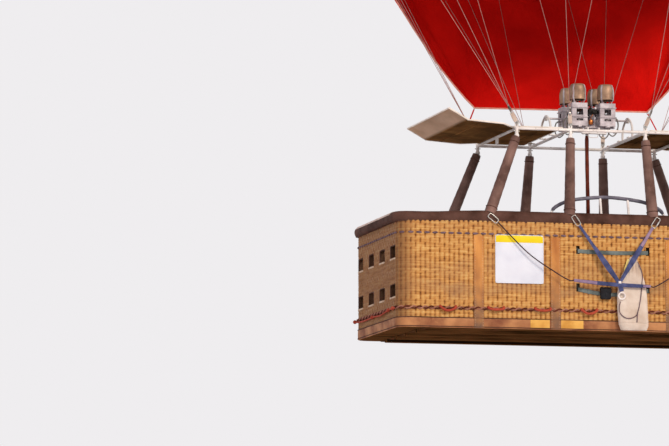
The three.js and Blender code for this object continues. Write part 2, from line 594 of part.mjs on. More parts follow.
// Things on the basket's front: placard, straps, line bag and the tether bridle
function frontGear() {
  const wallFace = -wallY - GAP;
  const { x, z, width, height, thick } = PLACARD;
  add("placard", box(x - width / 2, x + width / 2, wallFace - thick, wallFace, z - height / 2,
    z + height / 2), "sign");

  // columns: name, height, pouch
  const bands = [["upper", 812, false], ["lower", 428, true]];
  for (const [name, bandZ, pouch] of bands) {
    const reach = SLOT.x[1];
    const pieces = [box(-reach, reach, wallFace - 8, wallFace, bandZ - 21, bandZ + 21)];
    for (const s of [-1, 1]) {
      const [x0, x1] = [s * reach, s * (reach - 10)].sort((a, b) => a - b);
      pieces.push(box(x0, x1, wallFace - 8, wallFace + 46, bandZ - 21, bandZ + 21));
    }
    if (pouch) pieces.push(box(-150, -40, wallFace - 46, wallFace, bandZ - 62, bandZ + 62));
    add(`cylinder_strap_${name}`, join(pieces), "dark");
  }

  // columns: x, z of the bag's outline
  const outline = [[60, 10], [350, 15], [352, 200], [338, 400], [300, 590], [262, 715], [200, 760],
    [150, 700], [70, 520], [36, 420], [36, 230]];
  const shape = new THREE.Shape(outline.map(([px, pz]) => new THREE.Vector2(px, pz)));
  const back = -halfWidth - GAP;
  const bag = new THREE.ExtrudeGeometry(shape, { depth: BAG.depth, bevelThickness: BAG.puff,
    bevelSize: 18, bevelOffset: -18, bevelSegments: 2 }).rotateX(Math.PI / 2)
    .translate(0, back - BAG.puff, 0);
  const place = bag.attributes.position;
  for (let i = 0; i < place.count; i++) {
    const full = 1 - 0.65 * Math.min(1, Math.max(0, (place.getZ(i) - 150) / 610));
    place.setY(i, back + (place.getY(i) - back) * full);
  }
  add("line_bag", bag, "canvas");

  const front = back - BAG.depth - 2 * BAG.puff - BAG.clear;
  const [hubX, hubZ] = BRIDLE.hub;
  const hub = at(hubX, front, hubZ);
  const { length, width: across, rod: bar, z: linkZ } = BRIDLE.link;
  const linkY = -halfWidth - GAP - bar;
  const upright = at(0, 0, 1);
  const level = at(1, 0, 0);
  // Each link hangs on the rim and points along the line that it holds
  const ends = BRIDLE.hooks.map((hx, i) => {
    const aim = Math.atan2(hubX - hx, linkZ - hubZ) * (i % 3 ? 1 : 0.8);
    const end = at(Math.sin(aim), 0, -Math.cos(aim))
      .multiplyScalar(length / 2 + (bar * length) / across + 0.5);
    const ring = new THREE.TorusGeometry(across / 2, bar, 6, 16).scale(1, length / across, 1)
      .rotateX(Math.PI / 2).rotateY(-aim);
    add(`rim_karabiner_${i + 1}`, ring.translate(hx, linkY, linkZ), "steel");
    return end.add(at(hx, linkY, linkZ));
  });
  const arms = [ends[1], ends[2]].map((end) => strap(end, hub, BRIDLE.width, BRIDLE.thick, level));
  const crossLow = at(hubX - 480, front, hubZ + 20);
  const crossHigh = at(hubX + 330, front, hubZ - 24);
  const cross = strap(crossLow, crossHigh, 40, BRIDLE.thick, upright);
  const ringTop = BRIDLE.ring[1] + 42 + 2.3;
  const tail = strap(hub, at(BRIDLE.ring[0], front, ringTop), BRIDLE.width, BRIDLE.thick, level);
  add("bridle_webbing", join([...arms, cross, tail]), "webbing");
  const ropes = [["left", ends[0], crossLow, -1], ["right", ends[3], crossHigh, 1]];
  for (const [side, top, low, s] of ropes) {
    const stop = low.clone().addScaledVector(level, s * 0.7);
    const sag = top.clone().lerp(stop, 0.4).add(at(0, 0, -78));
    const late = top.clone().lerp(stop, 0.75).add(at(0, 0, -62));
    const lead = stop.clone().addScaledVector(level, s * 50);
    const route = [top, sag, late, lead, stop].map((spot) => spot.toArray());
    add(`bridle_rope_${side}`, tube(route, BRIDLE.rope, 16, 8), "dark");
  }
  const ring = new THREE.TorusGeometry(34, 8, 6, 16).rotateX(Math.PI / 2)
    .translate(BRIDLE.ring[0], front, BRIDLE.ring[1]);
  add("bridle_ring", ring, "white");
}

// Grab rail over the pilot's place, on the cross partitions' pads
function grabRail() {
  const { y, top, radius } = RAIL;
  const low = WALL_TOP + PARTITION.padLift + PARTITION.pad + GAP;
  const x = PARTITION.x;
  // columns: x, z of the arch's right half, from its foot
  const half = [[x, low], [x - 12, low + 66], [545, top - 108], [430, top - 53], [262, top - 20]];
  const left = half.map(([px, pz]) => [-px, y, pz]);
  const right = half.map(([px, pz]) => [px, y, pz]).reverse();
  const rail = tube([...left, [0, y, top], ...right], radius, 24, 6);
  const posts = RAIL.posts.map((px) =>
    rod(at(px, y, top - 8), at(px, -(rimY - RIM.radius - 12), RIM.height - 20), 11, 11, 8));
  add("grab_rail", join([rail, ...posts]), "white");
}

basket();
uprights();
loadFrame();
burner();
fuel();
suspension();
scoop();
envelope();
frontGear();
grabRail();

export default balloon;
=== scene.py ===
"""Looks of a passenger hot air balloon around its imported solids.

Basket heights are given from the underside of the floor, in metres, and lowered by BASE.
"""

import json
import logging
from dataclasses import dataclass
from enum import Enum
from itertools import product
from math import acos, atan2, copysign, cos, exp, floor, hypot, pi, radians, sin, sqrt
from typing import Callable, Iterable, Sequence

import bmesh
import bpy
from mathutils import Matrix, Vector, noise

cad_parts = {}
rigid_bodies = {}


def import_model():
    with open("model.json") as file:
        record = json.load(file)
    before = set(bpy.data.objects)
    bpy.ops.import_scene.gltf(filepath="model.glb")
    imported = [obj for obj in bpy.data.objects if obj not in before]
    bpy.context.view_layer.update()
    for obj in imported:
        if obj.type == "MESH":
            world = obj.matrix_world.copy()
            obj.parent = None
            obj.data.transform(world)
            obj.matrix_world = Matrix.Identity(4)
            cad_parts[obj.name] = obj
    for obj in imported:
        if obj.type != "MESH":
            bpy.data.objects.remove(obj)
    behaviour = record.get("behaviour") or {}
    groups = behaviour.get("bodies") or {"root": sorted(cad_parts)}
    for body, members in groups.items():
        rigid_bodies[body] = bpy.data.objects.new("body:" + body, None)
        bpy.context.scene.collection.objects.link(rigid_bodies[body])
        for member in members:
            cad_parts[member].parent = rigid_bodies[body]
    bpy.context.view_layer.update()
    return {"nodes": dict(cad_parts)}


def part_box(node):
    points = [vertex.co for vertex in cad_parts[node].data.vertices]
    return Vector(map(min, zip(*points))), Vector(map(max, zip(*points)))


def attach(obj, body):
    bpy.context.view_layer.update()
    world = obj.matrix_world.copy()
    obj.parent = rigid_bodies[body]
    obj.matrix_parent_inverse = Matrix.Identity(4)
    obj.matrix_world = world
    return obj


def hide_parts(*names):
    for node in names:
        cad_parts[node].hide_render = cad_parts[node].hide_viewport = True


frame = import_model()
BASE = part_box("skirting_band")[0].z
AIRFRAME, BURNER, VENT = "airframe", "burner", "vent"
SIDES = (-1, 1)
LEFT_RIGHT = (("left", -1), ("right", 1))
FRONT_BACK = (("front", -1), ("back", 1))
X, Y, Z = Vector((1, 0, 0)), Vector((0, 1, 0)), Vector((0, 0, 1))
ABOUT_X, ABOUT_Y = (Matrix.Rotation(pi / 2, 4, axis) for axis in "XY")
log = logging.getLogger("balloon")

Rgb = tuple[float, float, float]
Tone = str | float
Sizes = tuple[float, ...]
Profile = Sequence[tuple[float, float]]
Rows = tuple[tuple, ...]
Along = Callable[[float], float]
Place = Callable[[float, float], Vector]
Mesh = bmesh.types.BMesh
Piece = bpy.types.Object
Socket = bpy.types.NodeSocket
Look = tuple[Socket, Socket]


def spot(x: float, y: float, z: float) -> Vector:
  """A point of the basket's own heights, in the row frame."""
  return Vector((x, y, z + BASE))


def tint(tone: Tone) -> Rgb:
  """A screen colour such as #b98444, or a grey from 0 to 1, as linear light."""
  if not isinstance(tone, str):
    return (tone,) * 3
  parts = [int(tone[i : i + 2], 16) / 255 for i in (1, 3, 5)]
  return tuple(c / 12.92 if c <= 0.04045 else ((c + 0.055) / 1.055) ** 2.4 for c in parts)


def swing(radius: float, angle: float, z: float = 0.0) -> Vector:
  """A point at an angle about the upright axis."""
  return Vector((radius * cos(angle), radius * sin(angle), z))


def ripple(x: float, y: float, z: float = 0.0) -> float:
  """Smooth noise from -1 to 1, the same on each run."""
  return noise.noise(Vector((x, y, z)))


# Finishes


class Pattern(Enum):
  """How a finish varies over its surface."""

  MOTTLE = "mottle"
  CANE = "cane"
  WOVEN = "woven"
  HIDE = "hide"
  CLOTH = "cloth"
  WEBBING = "webbing"
  ROPE = "rope"
  METAL = "metal"
  PAINT = "paint"
  BOARD = "board"
  STRIP = "strip"
  SHIELD = "shield"
  SKIN = "skin"


class Graph:
  """A material's node tree, with short ways to add and join nodes."""

  def __init__(self, name: str) -> None:
    """Starts a material with its shader.

    Args:
      name: The material's name.
    """
    self.material = bpy.data.materials.new(name)
    self.material.use_nodes = True
    self.tree = self.material.node_tree
    self.shader = self.tree.nodes["Principled BSDF"]
    self.coords = self.tree.nodes.new("ShaderNodeTexCoord").outputs["Object"]

  def put(self, value: object, socket: Socket) -> None:
    """Joins a socket's value to another socket, or sets a plain value there."""
    if isinstance(value, bpy.types.NodeSocket):
      self.tree.links.new(value, socket)
    else:
      socket.default_value = value

  def node(self, kind: str, inputs: dict, **settings: object) -> bpy.types.Node:
    """Adds a node.

    Args:
      kind: The node's type without its ShaderNode prefix.
      inputs: Values or sockets for its inputs, by name or number.
      **settings: Its own properties.

    Returns:
      The node.
    """
    made = self.tree.nodes.new("ShaderNode" + kind)
    for key, value in settings.items():
      setattr(made, key, value)
    for key, value in inputs.items():
      self.put(value, made.inputs[key])
    return made

  def noise(self, scale: float, detail: float = 3.0, stretch: Rgb = (1, 1, 1)) -> Socket:
    """Noise on the piece's own coordinates.

    Args:
      scale: Its scale per metre.
      detail: How many finer layers it has.
      stretch: A factor on each axis.

    Returns:
      Its value socket.
    """
    place = self.node("Mapping", {"Vector": self.coords, "Scale": stretch}).outputs["Vector"]
    return self.node("TexNoise", {"Vector": place, "Scale": scale, "Detail": detail}).outputs["Fac"]

  def math(self, kind: str, *values: object) -> Socket:
    """The result of an operation on values."""
    return self.node("Math", dict(enumerate(values)), operation=kind).outputs[0]

  def times(self, a: object, b: object) -> Socket:
    """A product of two values."""
    return self.math("MULTIPLY", a, b)

  def plus(self, a: object, b: object) -> Socket:
    """A sum of two values."""
    return self.math("ADD", a, b)

  def scaled(self, value: object, factor: float, more: object) -> Socket:
    """A value times a factor and more."""
    return self.math("MULTIPLY_ADD", value, factor, more)

  def span(self, value: Socket, low: float, high: float, top: float = 1.0) -> Socket:
    """A value's place between low and high, as 0 to top."""
    limits = {"Value": value, "From Min": low, "From Max": high, "To Max": top}
    return self.node("MapRange", limits).outputs["Result"]

  def ramp(self, value: Socket, stops: Sequence[tuple[float, Tone]]) -> Socket:
    """Colours along a value.

    Args:
      value: The socket that picks the colour.
      stops: Positions and colours, from low to high.

    Returns:
      The colour socket.
    """
    made = self.node("ValToRGB", {"Fac": value})
    elements = made.color_ramp.elements
    while len(elements) < len(stops):
      elements.new(0.5)
    for element, (position, tone) in zip(elements, stops):
      element.position = position
      element.color = (*tint(tone), 1)
    return made.outputs["Color"]

  def mix(self, factor: object, a: object, b: object, kind: str = "MIX") -> Socket:
    """Two colours, as sockets or codes, mixed by a factor."""
    made = self.node("Mix", {0: factor}, data_type="RGBA", blend_type=kind)
    for key, value in ((6, a), (7, b)):
      self.put((*tint(value), 1) if isinstance(value, str) else value, made.inputs[key])
    return made.outputs[2]

  def axis(self, name: str) -> Socket:
    """One of the piece's own coordinates, X, Y or Z."""
    return self.node("SeparateXYZ", {0: self.coords}).outputs[name]

  def around(self) -> Socket:
    """A value that runs level along any upright wall."""
    return self.plus(self.axis("X"), self.axis("Y"))

  def height(self) -> Socket:
    """The height over the underside of the basket's floor."""
    return self.math("SUBTRACT", self.axis("Z"), BASE)

  def own(self, name: str) -> Socket:
    """A value that the mesh carries at each of its points."""
    return self.node("Attribute", {}, attribute_name=name).outputs["Fac"]

  def waves(self, value: Socket, pitch: float) -> Socket:
    """A smooth wave from 0 to 1 along a value, once in each pitch."""
    return self.scaled(self.math("SINE", self.times(value, 2 * pi / pitch)), 0.5, 0.5)

  def bump(self, height: Socket, strength: float, depth: float) -> None:
    """Lets a height value shape the shader's normal."""
    made = self.node("Bump", {"Height": height, "Strength": strength, "Distance": depth})
    self.put(made.outputs["Normal"], self.shader.inputs["Normal"])

  def roughness(self, value: Socket, low: float, high: float) -> None:
    """Lets a value from 0 to 1 move the roughness from low to high."""
    made = self.node("MapRange", {"Value": value, "To Min": low, "To Max": high})
    self.put(made.outputs["Result"], self.shader.inputs["Roughness"])


@dataclass(frozen=True)
class Finish:
  """A surface: its colours, its gloss and the pattern that varies them."""

  name: str
  slot: str
  light: str
  dark: str
  pattern: Pattern = Pattern.MOTTLE
  rough: tuple[float, float] = (0.5, 0.75)
  metallic: float = 0.0
  scale: float = 6.0
  relief: float = 0.4
  depth: float = 0.001
  gloss: float = 0.12

  def material(self) -> bpy.types.Material:
    """Builds the material once and gives it back after that."""
    own_name = f"{self.name}_finish"
    known = bpy.data.materials.get(own_name)
    if known is not None:
      return known
    graph = Graph(own_name)
    graph.put(self.metallic, graph.shader.inputs["Metallic"])
    graph.put(0.5 if self.metallic > 0.3 else self.gloss, graph.shader.inputs["Specular IOR Level"])
    colour, height = getattr(self, "_" + self.pattern.value)(graph)
    graph.put(colour, graph.shader.inputs["Base Color"])
    graph.bump(height, self.relief, self.depth)
    return graph.material

  def _base(self, graph: Graph, stretch: Rgb = (1, 1, 1)) -> Socket:
    """Mottled colour and roughness, which most patterns start from."""
    blot = graph.noise(self.scale, 5.0, stretch)
    graph.roughness(blot, self.rough[1], self.rough[0])
    return graph.ramp(blot, [(0.32, self.dark), (0.66, self.light)])

  def _mottle(self, graph: Graph) -> Look:
    """Soft blotches with a fine grain."""
    return self._base(graph), graph.noise(self.scale * 25, 2.0)

  def _paint(self, graph: Graph) -> Look:
    """Paint with scuffs where it has rubbed."""
    scuff = graph.ramp(graph.noise(38.0, 6.0), [(0.6, 0), (0.68, 1)])
    return graph.mix(graph.times(scuff, 0.55), self._base(graph), "#8f8880"), graph.noise(60.0, 3.0)

  def _metal(self, graph: Graph) -> Look:
    """Metal with fine draw lines and a few stains."""
    lines = graph.noise(160.0, 2.0, (1, 1, 0.06))
    return graph.mix(graph.times(lines, 0.35), self._base(graph), self.dark), lines

  def _shield(self, graph: Graph) -> Look:
    """Thin sheet with heat stains, water marks and dents, paler on its raised flap."""
    colour = self._base(graph, (1, 0.55, 1))
    stain = graph.ramp(graph.noise(3.1, 7.0), [(0.42, 0), (0.58, 1)])
    streak = graph.noise(26.0, 3.0, (1, 0.08, 1))
    colour = graph.mix(graph.times(stain, 0.6), colour, "#4f3a26")
    colour = graph.mix(graph.times(streak, 0.45), colour, "#3a2b1b")
    flap = graph.span(graph.math("ABSOLUTE", graph.axis("X")), 1.5, 1.53, 0.8)
    patchy = graph.scaled(graph.noise(5.0, 6.0, (1, 0.4, 1)), 1.5, 0.2)
    return graph.mix(graph.times(flap, patchy), colour, "#dcbca4"), graph.noise(3.2, 2.0)

  def _hide(self, graph: Graph) -> Look:
    """Leather: stains, pores and creases."""
    pores = graph.node("TexVoronoi", {"Vector": graph.coords, "Scale": 210.0}).outputs["Distance"]
    crease = graph.noise(22.0, 6.0)
    worn = graph.ramp(crease, [(0.56, 0), (0.74, 1)])
    colour = graph.mix(graph.times(worn, 0.5), self._base(graph), self.light)
    return colour, graph.scaled(pores, 0.35, crease)

  def _strip(self, graph: Graph) -> Look:
    """A tan hide strip that darkens toward the floor."""
    low = graph.span(graph.height(), 0.75, 0.05)
    soil = graph.times(low, graph.times(graph.noise(9.0, 4.0), 1.7))
    colour = graph.mix(graph.times(soil, 0.95), self._base(graph, (1, 1, 0.35)), "#6d5344")
    return colour, graph.noise(70.0, 5.0, (1, 1, 0.3))

  def _board(self, graph: Graph) -> Look:
    """Stained boards that run along the basket."""
    grain = graph.noise(7.0, 6.0, (0.25, 3.0, 3.0))
    graph.roughness(grain, self.rough[1], self.rough[0])
    seams = graph.ramp(graph.waves(graph.axis("Y"), 0.145), [(0.02, 0), (0.09, 1)])
    return graph.mix(seams, "#22150a", graph.ramp(grain, [(0.34, self.dark), (0.66, self.light)])), grain

  def _zones(self, graph: Graph, colour: Socket) -> Socket:
    """Greys the cane in level bands, as weather does, and darkens it at the basket's ends, partly as
    weathering and partly as painted shade.
    """
    drift = graph.scaled(graph.noise(3.2, 6.0), 0.44, -0.22)
    band = graph.ramp(graph.plus(graph.height(), drift), [
        (0.05, 0.3), (0.2, 0.05), (0.3, 0.15), (0.37, 0.95), (0.44, 0.92), (0.5, 0.05), (0.58, 0.5),
        (0.66, 0.5), (0.75, 0), (0.93, 0.05), (1.04, 0.3)])
    amount = graph.times(band, graph.scaled(graph.noise(2.3, 5.0), 2.2, -0.35))
    # The end mask and the darker worn tone paint shade on the basket's ends, together with their weathered
    # grey.
    end = graph.span(graph.math("ABSOLUTE", graph.axis("X")), 2.05, 2.2, 0.88)
    faded = graph.mix(amount, colour, graph.mix(0.62, colour, "#8d6a50"))
    worn = graph.mix(0.55, colour, "#7d5a40", "MULTIPLY")
    return graph.mix(end, faded, graph.mix(0.45, worn, "#77543e"))

  def _canes(self, graph: Graph) -> Look:
    """Cane tones that change from rod to rod, and a fine fibre."""
    rod, course = graph.times(graph.around(), 4.0), graph.times(graph.axis("Z"), 42.0)
    place = graph.node("CombineXYZ", {"X": rod, "Y": course}).outputs[0]
    rods = graph.node("TexNoise", {"Vector": place, "Scale": 1.0, "Detail": 4.0}).outputs["Fac"]
    graph.roughness(rods, self.rough[1], self.rough[0])
    return rods, graph.noise(240.0, 2.0, (0.2, 0.2, 1))

  def _woven(self, graph: Graph) -> Look:
    """Cane whose weave is in the mesh: painted shade makes its grooves dark and painted highlights make its
    ridges pale.
    """
    rods, fibre = self._canes(graph)
    tone = graph.scaled(rods, 0.95, graph.scaled(graph.own("weave"), 0.5, -0.17))
    # Low relief tones toward the darkest stop as painted shade in the grooves; high relief tones toward the
    # palest stop as a painted highlight on the ridges.
    stops = [(0.08, "#241004"), (0.32, self.dark), (0.62, self.light), (0.92, "#d2a868")]
    return self._zones(graph, graph.ramp(tone, stops)), fibre

  def _cane(self, graph: Graph) -> Look:
    """Cane on a plain wall: its ribs and rows are painted as shade in the grooves and light on the ridges,
    and shape the bump.
    """
    rods, fibre = self._canes(graph)
    ribs, rows = graph.waves(graph.around(), 0.05), graph.waves(graph.axis("Z"), 0.024)
    weave = graph.scaled(rows, 0.35, graph.times(ribs, 0.65))
    tone = graph.scaled(rods, 0.5, graph.times(weave, 0.5))
    # Low weave values take the darkest stop: painted shade between ribs and rows.
    colour = graph.ramp(tone, [(0.15, "#1c0f05"), (0.42, self.dark), (0.72, self.light)])
    return self._zones(graph, colour), graph.scaled(fibre, 0.15, weave)

  def _cloth(self, graph: Graph) -> Look:
    """Coated cloth: a ripstop grid, soft creases and a faint change of tone."""
    grid = graph.plus(graph.waves(graph.around(), 0.012), graph.waves(graph.axis("Z"), 0.012))
    creases = graph.noise(self.scale * 2.2, 5.0, (1, 1, 0.35))
    return self._base(graph), graph.scaled(grid, 0.02, creases)

  def _skin(self, graph: Graph) -> Look:
    """Gored cloth: a seam at each row of panels, painted shade that darkens it toward the tapes, and creases
    that die out from the tapes.
    """
    seam = graph.ramp(graph.math("PINGPONG", graph.own("panel"), 0.5), [(0.01, 1), (0.022, 0)])
    colour = graph.mix(graph.times(seam, 0.6), self._base(graph), self.dark)
    # Darker toward the tapes, where the gores curve in: painted shade.
    edge = graph.ramp(graph.own("gore"), [(0, 1), (0.35, 0)])
    colour = graph.mix(graph.times(edge, 0.35), colour, self.dark)
    crease = graph.times(graph.noise(3.4, 4.0, (1, 1, 0.3)), edge)
    return colour, graph.plus(crease, graph.times(graph.noise(0.8, 2.0), 0.25))

  def _webbing(self, graph: Graph) -> Look:
    """Woven strap with a fine twill."""
    twill = graph.waves(graph.plus(graph.axis("Z"), graph.axis("X")), 0.005)
    return graph.mix(graph.times(twill, 0.35), self._base(graph), self.dark), twill

  def _rope(self, graph: Graph) -> Look:
    """Braid with a speckle of its darker yarn."""
    yarn = graph.noise(170.0, 2.0)
    return graph.mix(yarn, self._base(graph), self.dark), yarn


MOTTLE, CANE, WOVEN, HIDE, CLOTH, WEBBING, ROPE, METAL, PAINT, BOARD, STRIP, SHIELD, SKIN = Pattern
WICKER = Finish("woven_cane", "wicker", "#bc8446", "#74451d", WOVEN, (0.42, 0.62), relief=0.35, depth=0.0008)
# The inside cane is the same cane made much darker: painted shade for the inside of the basket.
SHADED_WICKER_INSIDE = Finish("inner_cane", "wicker", "#47301a", "#1c1007", CANE, (0.5, 0.7), relief=0.9,
                       depth=0.006)
BAND_HIDE = Finish("band_hide", "hide_tan", "#b98256", "#7d4a33", HIDE, (0.45, 0.7), scale=5, depth=0.002)
PATCH_HIDE = Finish("patch_hide", "hide_tan", "#e3b15c", "#c48a3e", HIDE, (0.45, 0.7), scale=7)
STRIP_HIDE = Finish("strip_hide", "hide_tan", "#d3934f", "#a96a38", STRIP, (0.4, 0.65), scale=9)
RIM_HIDE = Finish("rim_hide", "hide_brown", "#62463e", "#3b2720", HIDE, (0.38, 0.6), scale=4,
                  depth=0.003, gloss=0.012)
# Pale hide that paints the highlight on the rim's ends; the cable straps are this colour too.
PALE_HIDE = Finish("pale_hide", "hide_brown", "#e6d4c8", "#b8a294", HIDE, (0.5, 0.7), scale=7, depth=0.002)
UNDER_HIDE = Finish("under_hide", "hide_brown", "#6a4830", "#402818", HIDE, (0.6, 0.8), gloss=0.0)
SLEEVE_HIDE = Finish("sleeve_hide", "hide_brown", "#86675e", "#573e37", HIDE, (0.42, 0.66), scale=5,
                     depth=0.002)
LIP_HIDE = Finish("lip_hide", "hide_tan", "#d3bda6", "#a88c72", HIDE, (0.5, 0.7), scale=12)
BOARDS = Finish("floor_board", "floor_board", "#77502f", "#3a2613", BOARD, (0.6, 0.8), relief=0.6,
                depth=0.003, gloss=0.0)
WHITE_PAINT = Finish("frame_paint", "frame_paint", "#efe9e6", "#d5ccc8", PAINT, (0.28, 0.42), relief=0.1)
SHIELD_SHEET = Finish("shield_sheet", "shield_sheet", "#b18250", "#7a5736", SHIELD, (0.6, 0.8),
                      scale=2.4, relief=0.5, depth=0.02, gloss=0.0)
SHIELD_TRIM = Finish("shield_trim", "shield_sheet", "#fdf4ec", "#dccfc2", METAL, (0.3, 0.5), scale=9,
                     relief=0.2)
BURNER_STEEL = Finish("burner_steel", "burner_steel", "#d3cacf", "#9d9399", METAL, (0.4, 0.6), 0.2, 14, 0.3)
CAN_STEEL = Finish("can_steel", "burner_steel", "#b8957a", "#7d624f", METAL, (0.4, 0.6), 0.45, 11, 0.3)
COIL_STEEL = Finish("coil_steel", "burner_steel", "#7c6a5c", "#4b3a30", METAL, (0.3, 0.5), 0.85, 18, 0.3)
COPPER = Finish("pilot_copper", "burner_steel", "#d88349", "#8c4a24", METAL, (0.25, 0.45), 0.9, 16, 0.3)
BLACK_GRIP = Finish("valve_black", "burner_steel", "#2b2826", "#141312", rough=(0.4, 0.6), metallic=0.1,
                    scale=20)
BAR_WHITE = Finish("bar_white", "bar_white", "#f2edeb", "#dcd2d0", PAINT, (0.25, 0.4), relief=0.1)
HOSE_GREY = Finish("hose_grey", "burner_steel", "#a7a39c", "#77726b", ROPE, (0.4, 0.6), 0.4, 20)
HOSE_HIDE = Finish("hose_cover", "hose_cover", "#7a3220", "#4a1a10", HIDE, (0.45, 0.65), scale=8)
CYLINDER_STEEL = Finish("cylinder_steel", "cylinder_steel", "#b9b7b3", "#8c8a86", METAL, (0.3, 0.48),
                        0.85, 8, 0.25)
CABLE_STEEL = Finish("cable_steel", "cable_steel", "#cf9d95", "#9c6d66", ROPE, (0.35, 0.5), 0.35, 30,
                     0.2, 0.0004)
STEEL = Finish("hook_steel", "karabiner_steel", "#d9d6d0", "#a09c96", METAL, (0.2, 0.36), 0.9, 20, 0.15)
SCOOP_CLOTH = Finish("scoop_cloth", "scoop_cloth", "#ea1812", "#c9100d", CLOTH, (0.6, 0.75),
                     scale=1.3, relief=0.7, depth=0.06, gloss=0.0)
PIPING = Finish("scoop_piping", "tape_web", "#f2a795", "#dd8877", rough=(0.55, 0.7), scale=18)
SKIN_CLOTH = Finish("envelope_cloth", "envelope_cloth", "#c81413", "#b81011", SKIN, (0.42, 0.6),
                    scale=0.3, relief=0.6, depth=0.03, gloss=0.0)
VENT_CLOTH = Finish("vent_cloth", "vent_cloth", "#8f1013", "#73090c", CLOTH, (0.45, 0.62), scale=0.8,
                    relief=0.3, depth=0.02, gloss=0.02)
TAPE = Finish("tape_web", "tape_web", "#c86a62", "#a14a45", WEBBING, (0.55, 0.72), depth=0.0006)
SEAM = Finish("seam_web", "tape_web", "#8d1312", "#6c0b0b", WEBBING, (0.55, 0.72), depth=0.0006)
BOARD_WHITE = Finish("sign_board", "sign_board", "#dfe3ee", "#d2d6e4", rough=(0.3, 0.42), scale=5,
                     relief=0.05)
BOARD_YELLOW = Finish("sign_band", "sign_board", "#efd72c", "#e4c81e", rough=(0.3, 0.42), scale=5,
                      relief=0.05)
DARK_STRAP = Finish("strap_dark", "strap_dark", "#7a8482", "#4a5250", WEBBING, (0.6, 0.8), scale=10,
                    depth=0.0008)
POUCH = Finish("pouch_black", "strap_dark", "#26262b", "#101014", HIDE, (0.45, 0.65), scale=14)
CANVAS = Finish("bag_canvas", "bag_canvas", "#e3d6cb", "#c0ac9c", WEBBING, (0.7, 0.9), scale=5, relief=0.35)
BAG_TRIM = Finish("bag_trim", "bag_canvas", "#ecd98a", "#d0b870", WEBBING, (0.7, 0.9), scale=8)
BLUE_WEB = Finish("web_blue", "web_blue", "#555c88", "#303658", WEBBING, (0.55, 0.75), scale=14, depth=0.0008)
PALE_WEB = Finish("web_pale", "web_blue", "#a58b9f", "#7c6886", WEBBING, (0.55, 0.75), scale=14, depth=0.0008)
VIOLET_CORD = Finish("lace_violet", "rope_dark", "#8c747c", "#57434c", ROPE, (0.6, 0.8), scale=16)
DARK_ROPE = Finish("rope_dark", "rope_dark", "#55404a", "#2c1f26", ROPE, (0.6, 0.8), scale=20)
RED_ROPE = Finish("rope_red", "rope_dark", "#c65b44", "#963a29", ROPE, (0.6, 0.8), scale=12)
BROWN_ROPE = Finish("rope_brown", "rope_dark", "#7c3a2c", "#4a2018", ROPE, (0.6, 0.8), scale=12)
PALE_ROPE = Finish("rope_pale", "rope_dark", "#c08b78", "#8a5a4a", ROPE, (0.6, 0.8), scale=12)
RAIL_PAD = Finish("rail_pad", "frame_paint", "#7c7986", "#53505c", HIDE, (0.5, 0.7), scale=10)


# Shaping


def keep(name: str, bm: Mesh, finish: Finish, body: str = AIRFRAME, node: str = "") -> Piece:
  """Makes a piece of a mesh, dresses it and lets it ride on a body.

  Args:
    name: The piece's name.
    bm: Its mesh, which is freed.
    finish: Its surface.
    body: The body it rides on.
    node: The node it replaces, if any.

  Returns:
    The piece.
  """
  bmesh.ops.remove_doubles(bm, verts=bm.verts, dist=1e-5)
  bmesh.ops.recalc_face_normals(bm, faces=bm.faces)
  mesh = bpy.data.meshes.new(name)
  for face in bm.faces:
    face.smooth = True
  bm.to_mesh(mesh)
  bm.free()
  mesh.set_sharp_from_angle(angle=radians(38))
  piece = bpy.data.objects.new(name, mesh)
  bpy.context.scene.collection.objects.link(piece)
  mesh.materials.append(finish.material())
  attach(piece, body)
  if node:
    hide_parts(node)
  return piece


def dress(node: str, finish: Finish) -> None:
  """Gives a solid of the frame its finish."""
  slots = frame["nodes"][node].data.materials
  slots.clear()
  slots.append(finish.material())


def line(start: Vector, end: Vector, steps: int) -> list[Vector]:
  """Points along a straight way, both ends among them."""
  return [start.lerp(end, i / steps) for i in range(steps + 1)]


def reach_of(path: Sequence[Vector]) -> float:
  """The length of a way."""
  return sum((b - a).length for a, b in zip(path, path[1:]))


def shell(bm: Mesh, thick: float) -> None:
  """Turns an open sheet's faces outward and gives it a thickness."""
  bmesh.ops.recalc_face_normals(bm, faces=bm.faces)
  bmesh.ops.solidify(bm, geom=bm.faces[:], thickness=thick)


def cap(bm: Mesh) -> None:
  """Closes every open rim with a face."""
  bmesh.ops.holes_fill(bm, edges=[edge for edge in bm.edges if edge.is_boundary], sides=0)


def ball(bm: Mesh, centre: Vector, radius: float) -> None:
  """Adds a small ball."""
  bmesh.ops.create_icosphere(bm, subdivisions=2, radius=radius, matrix=Matrix.Translation(centre))


def surface(bm: Mesh, across: int, along: int, place: Place) -> list[bmesh.types.BMVert]:
  """Adds a grid and moves each of its vertices to place(u, v).

  Args:
    bm: The mesh.
    across: Faces along u.
    along: Faces along v.
    place: Gives a point for u and v from 0 to 1.

  Returns:
    The grid's vertices.
  """
  made = bmesh.ops.create_grid(bm, x_segments=across, y_segments=along, size=1.0)["verts"]
  for vert in made:
    vert.co = place((vert.co.x + 1) / 2, (vert.co.y + 1) / 2)
  return made


def bar(bm: Mesh, start: Vector, end: Vector, radius: float, end_radius: float | None = None,
        sides: int = 12) -> None:
  """Adds a round bar between two points.

  Args:
    bm: The mesh.
    start: Its first end.
    end: Its other end.
    radius: Its radius at the start.
    end_radius: Its radius at the end, where that differs.
    sides: How many faces go round it.
  """
  along = end - start
  turn = along.to_track_quat("Z", "Y").to_matrix().to_4x4()
  bmesh.ops.create_cone(bm, cap_ends=True, segments=sides, radius1=radius,
                        radius2=radius if end_radius is None else end_radius, depth=along.length,
                        matrix=Matrix.Translation((start + end) / 2) @ turn)


